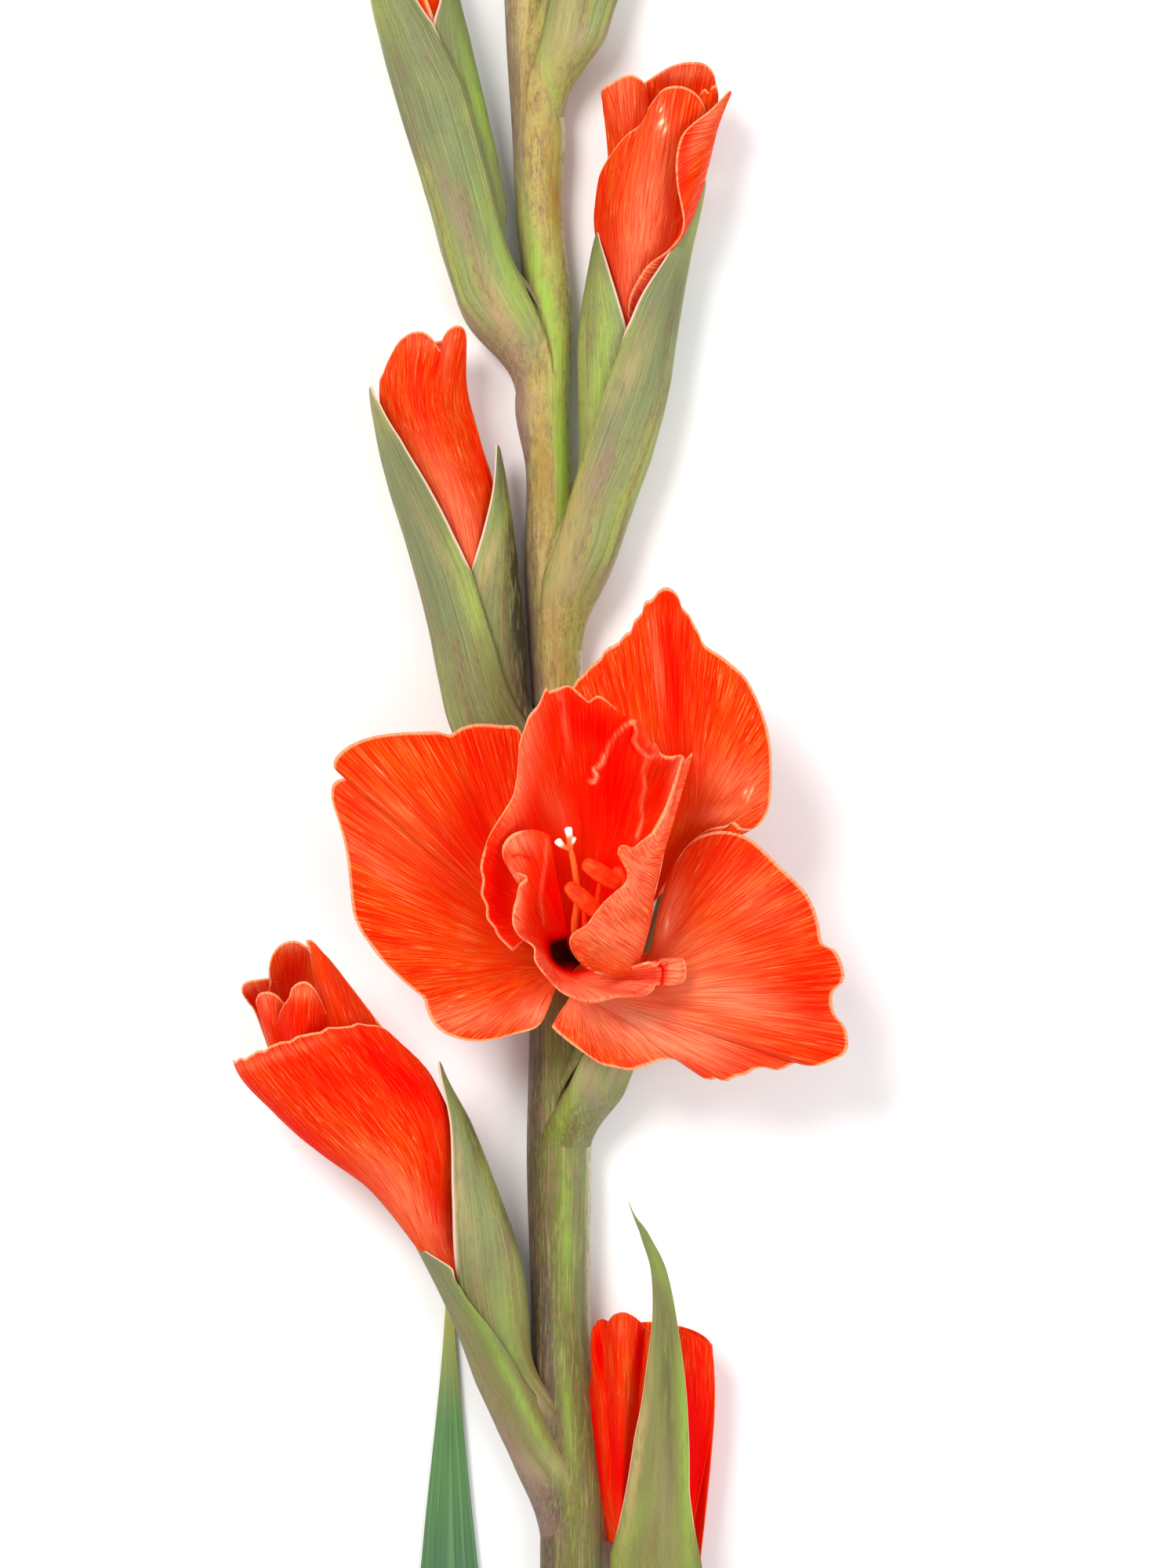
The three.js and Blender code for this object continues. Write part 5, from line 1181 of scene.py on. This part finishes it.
class Look:
    """A node material that reads the veins' lay and the tones of its pieces."""

    def __init__(self, name, seed):
        self.material = bpy.data.materials.new(name)
        self.material.use_nodes = True
        self.tree = self.material.node_tree
        self.shader = self.tree.nodes["Principled BSDF"]
        self.seed = seed
        uv = self.add("ShaderNodeUVMap")
        uv.uv_map = "Veins"
        self.across, self.along, _ = self.split(uv.outputs["UV"])
        self.tones = self.attribute("tone")
        self.place = self.add("ShaderNodeTexCoord").outputs["Object"]

    def add(self, kind):
        return self.tree.nodes.new(kind)

    def join(self, value, socket):
        if isinstance(value, (int, float, tuple)):
            socket.default_value = value
        else:
            self.tree.links.new(value, socket)

    def put(self, name, value):
        self.join(value, self.shader.inputs[name])

    def split(self, vector):
        node = self.add("ShaderNodeSeparateXYZ")
        self.join(vector, node.inputs[0])
        return node.outputs[0], node.outputs[1], node.outputs[2]

    def combine(self, *values):
        node = self.add("ShaderNodeCombineXYZ")
        for value, socket in zip(values, node.inputs):
            self.join(value, socket)
        return node.outputs[0]

    def attribute(self, name):
        node = self.add("ShaderNodeAttribute")
        node.attribute_name = name
        return self.split(node.outputs["Vector"])

    def math(self, kind, *values):
        node = self.add("ShaderNodeMath")
        node.operation = kind
        for value, socket in zip(values, node.inputs):
            self.join(value, socket)
        return node.outputs[0]

    def times(self, a, b):
        return self.math("MULTIPLY", a, b)

    def plus(self, a, b):
        return self.math("ADD", a, b)

    def band(self, value, low, high, bottom=0.0, top=1.0):
        """Value mapped from low..high to bottom..top with soft ends."""
        node = self.add("ShaderNodeMapRange")
        node.interpolation_type = "SMOOTHSTEP"
        for number, socket in zip((value, low, high, bottom, top), node.inputs):
            self.join(number, socket)
        return node.outputs[0]

    def noise(self, vector, scale, detail=2.0):
        node = self.add("ShaderNodeTexNoise")
        self.join(vector, node.inputs["Vector"])
        self.join(scale, node.inputs["Scale"])
        self.join(detail, node.inputs["Detail"])
        return node.outputs["Fac"]

    def streaks(self, across, along, detail=2.0, shift=0.0):
        """Noise drawn out along the veins: so many changes per mm across and along."""
        return self.noise(self.combine(self.times(self.across, across), self.times(self.along, along),
                                       self.seed + shift), 1.0, detail)

    def grain(self, across, along, detail=2.0, shift=0.0):
        """Noise drawn out along the stem, the same for each piece that lies there."""
        x, y, z = self.split(self.place)
        return self.noise(self.combine(self.times(x, across / METRES),
                                       self.math("MULTIPLY_ADD", y, along / METRES, shift),
                                       self.times(z, across / METRES)), 1.0, detail)

    def down(self, start, end):
        """0 above one place down the drawing and 1 below another."""
        return self.band(self.split(self.place)[1], to_y(start) * METRES, to_y(end) * METRES)

    def mix(self, factor, a, b):
        node = self.add("ShaderNodeMix")
        node.data_type = "RGBA"
        self.join(factor, node.inputs["Factor"])
        self.join(linear(a), node.inputs[6])
        self.join(linear(b), node.inputs[7])
        return node.outputs[2]

    def coat(self, colour, over, *masks):
        """The colour under a second one, which lies where all the masks do."""
        factor = masks[0]
        for mask in masks[1:]:
            factor = self.times(factor, mask)
        return self.mix(factor, colour, over)

    def tint(self, factor, colour, by):
        out = self.mix(factor, colour, by)
        out.node.blend_type = "MULTIPLY"
        return out

    def glow(self, weight, radius, scale):
        """Light that wanders through the thin leaf or petal."""
        self.put("Subsurface Weight", weight)
        self.put("Subsurface Radius", radius)
        self.put("Subsurface Scale", scale * METRES)

    def finish(self, colour, roughness, relief, strength, height):
        """The relief stands out by a height in mm."""
        self.put("Base Color", colour)
        self.put("Roughness", roughness)
        bump = self.add("ShaderNodeBump")
        self.join(strength, bump.inputs["Strength"])
        self.join(height * METRES, bump.inputs["Distance"])
        self.join(relief, bump.inputs["Height"])
        self.put("Normal", bump.outputs["Normal"])
        return self.material


def petal_look(name, seed, body, warm, grain, red):
    """Tones: rim, deep and pale; the rim and pale are partly painted highlight, deep partly painted shade.
    Grain is the weight of the streaks, red the share of red that stays.
    """
    look = Look(name, seed)
    rim, deep_red_and_shade, pale_and_highlight = look.tones
    fine = look.streaks(4.2, 0.16)
    lines = look.streaks(1.9, 0.11, shift=3.0)
    broad = look.streaks(0.22, 0.03, shift=7.0)
    dashes = look.streaks(2.6, 0.3, shift=13.0)
    colour = look.mix(look.band(broad, 0.36, 0.64), body, warm)
    colour = look.coat(colour, (230, 12, 2), look.band(lines, 0.5, 0.36), 0.6 * grain)
    # Lighter orange veins, partly a painted highlight where they stand up in the relief
    colour = look.coat(colour, (248, 104, 36), look.band(lines, 0.52, 0.68), 0.55 * grain)
    colour = look.coat(colour, (246, 150, 110), pale_and_highlight, look.band(lines, 0.3, 0.6, 0.6, 1.0))
    colour = look.coat(colour, (228, 44, 18), look.band(lines, 0.49, 0.38), pale_and_highlight, 0.6)
    colour = look.coat(colour, (226, 12, 2), look.band(fine, 0.48, 0.34), 0.8 * grain)
    # Lighter fine streaks, partly a painted highlight where they stand up in the relief
    colour = look.coat(colour, (250, 128, 62), look.band(fine, 0.54, 0.7), 0.6 * grain)
    # Painted highlight: small bright salmon glints along the veins
    painted_sparkle = look.times(look.band(dashes, 0.6, 0.7), look.band(fine, 0.42, 0.6))
    colour = look.coat(colour, (252, 164, 112), painted_sparkle, 0.7 * grain)
    colour = look.coat(colour, (236, 1, 1), deep_red_and_shade, look.band(lines, 0.62, 0.4, 0.88, 1.0))
    # Painted shade: past about 1.05 the deep tone turns dark brown, in the throat's recess, in the hollows
    # of the lowest bud, along the edges of overlapping flaps and under the hood's torn edge
    painted_shade_mask = look.band(deep_red_and_shade, 1.05, 1.9)
    colour = look.coat(colour, (70, 24, 10), painted_shade_mask)
    colour = look.coat(colour, (252, 214, 176), look.band(pale_and_highlight, 1.1, 1.7))
    # Pale thin rim: the margin's own paler tone with a painted highlight along the edge
    pale_rim_and_highlight = look.times(look.band(rim, 0.45, 0.8), look.band(lines, 0.3, 0.55, 0.45, 1.0))
    colour = look.coat(colour, (250, 158, 112), pale_rim_and_highlight)
    colour = look.tint(look.band(pale_and_highlight, 0.0, 1.0, 1.0, 0.3), colour, (red, 1.0, 1.0, 1.0))
    # Painted glow: a red emission that stands in for light coming through the petal, redder where deep and
    # off under the painted throat shade
    look.put("Emission Color", look.mix(deep_red_and_shade, (0.7, 0.03, 0.0, 1.0), (1.0, 0.0, 0.0, 1.0)))
    look.put("Emission Strength", look.times(look.math("SUBTRACT", 1.0, painted_shade_mask), 0.2))
    look.put("Specular IOR Level", 0.08)
    look.put("Specular Tint", linear((255, 92, 60)))
    look.glow(0.3, (1.0, 0.06, 0.02), 1.2)
    relief = look.plus(look.times(fine, 0.5), look.plus(look.times(lines, 0.6), look.times(dashes, 0.2)))
    return look.finish(colour, look.band(fine, 0.3, 0.7, 0.66, 0.54), relief, 0.9, 0.36)


def stem_colour(look, side):
    """Mauve on the left, ochre in the middle, green on the right with a painted highlight along its right
    edge, and darker lower down.
    """
    low = look.down(1000, 1400)
    fine = look.grain(2.6, 0.07, 3.0)
    broad = look.grain(0.3, 0.022, 3.0, 4.0)
    speck = look.grain(3.6, 1.1, 3.0, 9.0)
    clusters = look.grain(0.5, 0.07, 2.0, 21.0)
    mottle = look.grain(0.9, 0.3, 3.0, 33.0)
    wander = look.plus(side, look.times(look.math("SUBTRACT", broad, 0.5), 1.8))
    upper = look.mix(look.band(wander, -0.85, -0.25), (140, 118, 96), (172, 148, 84))
    upper = look.coat(upper, (160, 158, 78), look.band(wander, 0.1, 0.6))
    lower = look.mix(look.band(wander, -0.75, -0.1), (84, 66, 56), (98, 96, 38))
    lower = look.coat(lower, (112, 118, 72), look.band(wander, 0.15, 0.7))
    colour = look.mix(low, upper, lower)
    # Painted highlight: a pale band along the stem's right edge
    colour = look.coat(colour, (206, 204, 176), look.band(side, 0.78, 0.98), 0.75)
    colour = look.coat(colour, (128, 100, 74), look.band(mottle, 0.5, 0.62), 0.5)
    fresh = look.mix(low, (166, 182, 86), (134, 146, 56))
    colour = look.coat(colour, fresh, look.band(mottle, 0.46, 0.36), 0.26)
    specks = look.times(look.band(speck, 0.52, 0.62), look.band(clusters, 0.4, 0.6, 0.05, 0.5))
    colour = look.coat(colour, (112, 78, 52), specks)
    colour = look.coat(colour, (200, 192, 134), look.band(fine, 0.52, 0.68), 0.2)
    colour = look.coat(colour, (84, 74, 46), look.band(fine, 0.46, 0.32), 0.3)
    return look.coat(colour, (98, 128, 66), look.down(2300, 3000)), fine


def add_stains_and_shade(look, colour, warm):
    """Stain and painted shade: mauve, fresh green, and a shift that is warm where positive and painted
    shade where negative.
    """
    mauve, fresh, shift = look.attribute("stain")
    patchy = look.band(look.grain(1.2, 0.22, 3.0, 51.0), 0.3, 0.58, 0.35, 1.0)
    colour = look.coat(colour, (142, 180, 56), fresh, patchy)
    colour = look.coat(colour, warm, shift, patchy)
    colour = look.coat(colour, (150, 118, 110), mauve, patchy)
    # Painted shade: dark olive brown where the shift is negative, in the slits between the bracts and the
    # stem
    return look.coat(colour, (58, 50, 28), shift, -1.0, patchy)


def bract_look(name, seed, body, fresh):
    """Tones: rim, foot, and left to right of the stem."""
    look = Look(name, seed)
    rim, foot, side = look.tones
    veins = look.streaks(3.0, 0.03, 3.0)
    bands = look.streaks(0.2, 0.01, 2.0, 5.0)
    speck = look.streaks(3.0, 0.6, 3.0, 9.0)
    stain = look.streaks(0.16, 0.035, 3.0, 17.0)
    patch = look.noise(look.place, 34.0, 3.0)
    skin, grain = stem_colour(look, side)
    colour = look.mix(look.band(patch, 0.38, 0.62), body, fresh)
    colour = look.coat(colour, (114, 126, 90), look.band(bands, 0.46, 0.6), 0.5)
    blots = look.times(look.band(stain, 0.5, 0.64), look.band(speck, 0.35, 0.6, 0.3, 0.85))
    colour = look.coat(colour, (124, 98, 74), blots)
    colour = look.coat(colour, (184, 184, 122), look.band(veins, 0.52, 0.68), 0.34)
    colour = look.coat(colour, (84, 88, 46), look.band(veins, 0.46, 0.32), 0.5)
    colour = look.coat(colour, (120, 90, 60), look.band(speck, 0.54, 0.64), 0.4)
    colour = look.coat(colour, (106, 100, 44), look.down(1500, 1800), 0.6)
    mauve = look.times(look.band(foot, 0.15, 0.5), look.band(foot, 0.95, 0.5, 0.0, 0.5))
    colour = look.coat(colour, (170, 144, 122), mauve, look.band(stain, 0.35, 0.6))
    colour = look.coat(colour, skin, look.band(foot, 0.3, 0.85))
    colour = add_stains_and_shade(look, colour, (186, 156, 104))
    colour = look.coat(colour, (236, 196, 178), look.band(rim, 0.4, 0.85), 0.85)
    look.put("Specular IOR Level", 0.25)
    look.glow(0.12, (0.5, 0.8, 0.2), 1.2)
    relief = look.plus(veins, look.times(grain, look.times(foot, 0.5)))
    return look.finish(colour, look.band(veins, 0.3, 0.7, 0.6, 0.48), relief, 0.5, 0.25)


def stem_look():
    """Tones: left to right of the stem, and two that aren't read."""
    look = Look("stem_skin", 3.0)
    colour, fine = stem_colour(look, look.tones[0])
    look.put("Specular IOR Level", 0.3)
    look.glow(0.08, (0.5, 0.7, 0.2), 1.5)
    return look.finish(add_stains_and_shade(look, colour, (150, 116, 40)), look.band(fine, 0.3, 0.7, 0.56, 0.44), fine,
                       0.5, 0.25)


def leaf_look():
    """Tones: one that isn't read, along the leaf, and free of the stem."""
    look = Look("leaf_blade", 5.0)
    _, along, free = look.tones
    ribs = look.streaks(1.5, 0.01, 1.0)
    fine = look.streaks(5.0, 0.03, 2.0, 4.0)
    broad = look.noise(look.place, 18.0)
    colour = look.mix(look.band(broad, 0.35, 0.65), (54, 96, 58), (66, 112, 46))
    colour = look.coat(colour, (98, 134, 84), look.band(ribs, 0.5, 0.62), 0.5)
    colour = look.coat(colour, (34, 68, 38), look.band(fine, 0.5, 0.36), 0.5)
    colour = look.coat(colour, (150, 150, 70), look.band(along, 0.94, 1.0))
    colour = look.coat(colour, (98, 124, 66), look.band(free, 0.6, 0.0))
    look.glow(0.1, (0.4, 0.8, 0.2), 1.2)
    relief = look.plus(ribs, look.times(fine, 0.3))
    return look.finish(colour, look.band(fine, 0.3, 0.7, 0.55, 0.44), relief, 0.4, 0.4)


def anther_look():
    look = Look("anther_skin", 8.0)
    grain = look.noise(look.place, 2600.0, 3.0)
    patch = look.noise(look.place, 400.0)
    colour = look.mix(look.band(patch, 0.35, 0.65), (246, 40, 2), (250, 72, 10))
    colour = look.coat(colour, (250, 110, 56), look.band(grain, 0.5, 0.7), 0.4)
    look.put("Specular IOR Level", 0.2)
    # Painted glow: a weak orange-red emission that brightens the anthers where they lie in shade
    look.put("Emission Color", (1.0, 0.06, 0.0, 1.0))
    look.put("Emission Strength", 0.12)
    look.glow(0.2, (1.0, 0.2, 0.05), 0.5)
    return look.finish(colour, look.band(grain, 0.3, 0.7, 0.7, 0.5), grain, 0.5, 0.12)


def style_look():
    """Tones: one that isn't read, along the rod, and white toward its tip."""
    look = Look("style_skin", 9.0)
    _, along, white = look.tones
    grain = look.streaks(3.0, 0.6)
    colour = look.mix(look.band(grain, 0.35, 0.65), (240, 96, 26), (250, 124, 50))
    colour = look.coat(colour, (255, 238, 222), white, look.band(along, 0.45, 0.75))
    look.glow(0.3, (1.0, 0.5, 0.3), 0.8)
    return look.finish(colour, look.band(grain, 0.3, 0.7, 0.5, 0.4), grain, 0.3, 0.1)


def table_look():
    look = Look("table_top", 1.0)
    grain = look.noise(look.place, 40.0, 4.0)
    colour = look.mix(look.band(grain, 0.3, 0.7), (0.86, 0.86, 0.86, 1.0), (0.88, 0.88, 0.88, 1.0))
    return look.finish(colour, look.band(grain, 0.3, 0.7, 0.75, 0.65), grain, 0.05, 0.2)


PETAL_SKIN = petal_look("petal_skin", 1.0, (240, 44, 3), (242, 66, 6), 1.0, 0.69)
INNER_SKIN = petal_look("inner_petal_skin", 21.0, (240, 40, 5), (242, 60, 10), 0.6, 0.84)
BRACT_SKIN = bract_look("bract_skin", 2.0, (112, 116, 74), (146, 154, 74))
YOUNG_SKIN = bract_look("young_bract_skin", 12.0, (126, 138, 78), (152, 166, 82))
STEM_SKIN = stem_look()
LEAF_SKIN = leaf_look()
ANTHER_SKIN = anther_look()
STYLE_SKIN = style_look()

# The throat's petals: node, skin, slot and cells, then how far up from the claw they are deep red and how
# far the painted shade of the throat's recess reaches, each as (where it ends, over what share)
THROAT_PETALS = {
    "hood": ("floret_2_hood_petal", INNER_SKIN, "inner_petal", (120, 190), (0.55, 0.55), (0.4, 0.4)),
    "lip": ("floret_2_lip_petal", INNER_SKIN, "inner_petal", (100, 190), (0.5, 0.14), (0.42, 0.16)),
    "fold": ("floret_2_side_petal", PETAL_SKIN, "petal", (100, 120), (0.45, 0.2), (0.4, 0.4)),
}
THROAT_RED = 0.85
THROAT_PAINTED_SHADE = 1.3
TUBE_PALE = 0.6
WHORL_RED = 0.8
WHORL_RED_TO = 0.45
DULL_FROM = 0.3


def bract_sheet(name, which, cells):
    floret = FLORETS[name]
    grid = bract(floret, which, cells)
    down = from_y(grid[..., 1])
    stem_x, stem_radius, _ = stem_at(down)
    side = clamp((grid[..., 0] - stem_x) / stem_radius, -1.0, SIDE_LIMIT)
    foot = ease(FOOT_TONE_FROM - (floret[which][-1][0] - down) / FOOT_TONE_OVER)
    open_edge = ease((floret["mouth"] - down) / MOUTH_OVER + 0.5)
    return Sheet(grid, BRACT_RIM_REACH, foot, side, rim_share=open_edge,
                 stain_spots_and_shade=stain_spots_and_shade(f"{name}_{which}_bract", grid))


def petal_sheet(name, grid, reach, deep_red_and_shade=0.0):
    pale_and_highlight = np.maximum(shades(grid, PALE_AND_HIGHLIGHT.get(name, [])), strokes(grid, PALE_AND_HIGHLIGHT_LINES.get(name, [])))
    deep_red_and_shade = np.maximum(deep_red_and_shade, shades(grid, DEEP_RED_AND_SHADE.get(name, []))) * clamp(1 - pale_and_highlight)
    deep_red_and_shade = np.maximum(deep_red_and_shade, strokes(grid, DEEP_RED_AND_SHADE_LINES.get(name, [])))
    _, v = shares(*cells_of(grid))
    lit = ease(v / DULL_SIDES[name] - DULL_FROM) if name in DULL_SIDES else 1.0
    return Sheet(grid, reach, deep_red_and_shade, pale_and_highlight, rim_share=RIM_SHARES.get(name, 1.0) * lit)


def petal_bodies(name, grids, reach):
    return [sheet_mesh([petal_sheet(name, grid, reach)], PETAL_HALF, PETAL_RIM) for grid in grids]


piece("stem", [stem_mesh(STEM_CELLS)], STEM_SKIN)

for name, leaf in LEAVES.items():
    piece(name, [leaf_mesh(leaf, LEAF_CELLS)], LEAF_SKIN)

# Florets: their bracts, and the petals of their buds
for name, floret in FLORETS.items():
    young = "young" in floret
    for which in ("outer", "inner"):
        sheet = bract_sheet(name, which, YOUNG_CELLS if young else BRACT_CELLS)
        piece(f"{name}_{which}_bract", [sheet_mesh([sheet], BRACT_HALF, BRACT_RIM)],
              YOUNG_SKIN if young else BRACT_SKIN)
    for node in (f"{name}_outer_petals", f"{name}_inner_petals"):
        grids = [bud_petal(lines, BUD_CELLS) for lines in BUD_PETALS.get(node, ())]
        if node in ROLLS:
            grids.append(roll(ROLLS[node], ROLL_CELLS))
        if grids:
            piece(node, petal_bodies(node, grids, BUD_RIM_REACH), PETAL_SKIN)

# The open floret
u, _ = shares(*WHORL_CELLS)
whorl = [Sheet(tube(TUBE_CELLS), PETAL_RIM_REACH, 0.0, TUBE_PALE)]
for name in WHORL:
    grid = petal(OPEN_PETALS[name], WHORL_CELLS)
    whorl.append(petal_sheet(name, grid, PETAL_RIM_REACH, WHORL_RED * ease(1 - u / WHORL_RED_TO)))
piece("floret_2_outer_petals", [sheet_mesh(whorl, PETAL_HALF, PETAL_RIM)], PETAL_SKIN)

for name, (node, skin, slot, cells, red, painted_shade) in THROAT_PETALS.items():
    u, _ = shares(*cells)
    grid = petal(OPEN_PETALS[name], cells)
    deep_red_and_shade = THROAT_RED * ease((red[0] - u) / red[1]) + THROAT_PAINTED_SHADE * ease((painted_shade[0] - u) / painted_shade[1])
    sheet = petal_sheet(name, grid, PETAL_RIM_REACH, deep_red_and_shade)
    piece(node, [sheet_mesh([sheet], PETAL_HALF, PETAL_RIM)], skin)

for name, (filament, anther) in STAMENS.items():
    bodies = [rod(filament, FILAMENT_CELLS), rod(anther, ANTHER_CELLS, groove=ANTHER_GROOVE)]
    piece(f"floret_2_{name}", bodies, ANTHER_SKIN)

lobes = [rod(line, LOBE_CELLS, flat=LOBE_FLAT, white=1.0) for line in LOBES]
piece("floret_2_style", [rod(STYLE, STYLE_CELLS), *lobes], STYLE_SKIN)

# Stage, light and camera, in metres. The view's middle and height are in drawing units, and the
# camera's sensor and lens in mm.
FLOOR_HALF = 4.0
FLOOR_STEPS = 8
FLOOR_DROP = 0.0002
WORLD_STRENGTH = 0.7
VIEW_MIDDLE = (750, 1000)
VIEW_HEIGHT = 2000
SENSOR = 36.0
LENS = 300.0
LIGHT_AIM = (0, 0.08, 0)

# Lights: offset from the middle of the view, size, power in watts and colour
LIGHTS = {
    "key_light": ((-0.9, 0.9, 1.9), 1.0, 42, (1.0, 0.98, 0.95)),
    "fill_light": ((1.3, -0.6, 1.5), 1.6, 22, (0.95, 0.98, 1.0)),
}

line = FLOOR_STEPS + 1
steps = np.linspace(-FLOOR_HALF, FLOOR_HALF, line)
starts = [row * line + column for row in range(FLOOR_STEPS) for column in range(FLOOR_STEPS)]
floor_mesh = bpy.data.meshes.new("floor")
floor_mesh.from_pydata([(x, y, 0.0) for y in steps for x in steps], [],
                       [(k, k + 1, k + line + 1, k + line) for k in starts])
floor_mesh.materials.append(table_look())
floor = bpy.data.objects.new("floor", floor_mesh)
floor.location.z = -FLOOR_DROP
bpy.context.collection.objects.link(floor)

middle = Vector((to_x(VIEW_MIDDLE[0]) * METRES, to_y(VIEW_MIDDLE[1]) * METRES, 0))
for name, (offset, size, power, colour) in LIGHTS.items():
    lamp = bpy.data.lights.new(name, "AREA")
    lamp.shape = "DISK"
    lamp.size = size
    lamp.energy = power
    lamp.color = colour
    light = bpy.data.objects.new(name, lamp)
    light.location = middle + Vector(offset)
    light.rotation_euler = (Vector(LIGHT_AIM) - light.location).to_track_quat("-Z", "Y").to_euler()
    bpy.context.collection.objects.link(light)

world = bpy.data.worlds.new("studio")
world.use_nodes = True
sky = world.node_tree.nodes["Background"]
sky.inputs["Color"].default_value = (1.0, 1.0, 1.0, 1.0)
sky.inputs["Strength"].default_value = WORLD_STRENGTH
bpy.context.scene.world = world
bpy.context.scene.view_settings.view_transform = "Standard"

camera_data = bpy.data.cameras.new("camera")
camera_data.sensor_fit = "VERTICAL"
camera_data.sensor_height = SENSOR
camera_data.lens = LENS
camera_data.clip_end = 20.0
camera = bpy.data.objects.new("camera", camera_data)
camera.location = middle + Vector((0, 0, VIEW_HEIGHT * MM_PER_UNIT * LENS / SENSOR * METRES))
bpy.context.collection.objects.link(camera)
bpy.context.scene.camera = camera
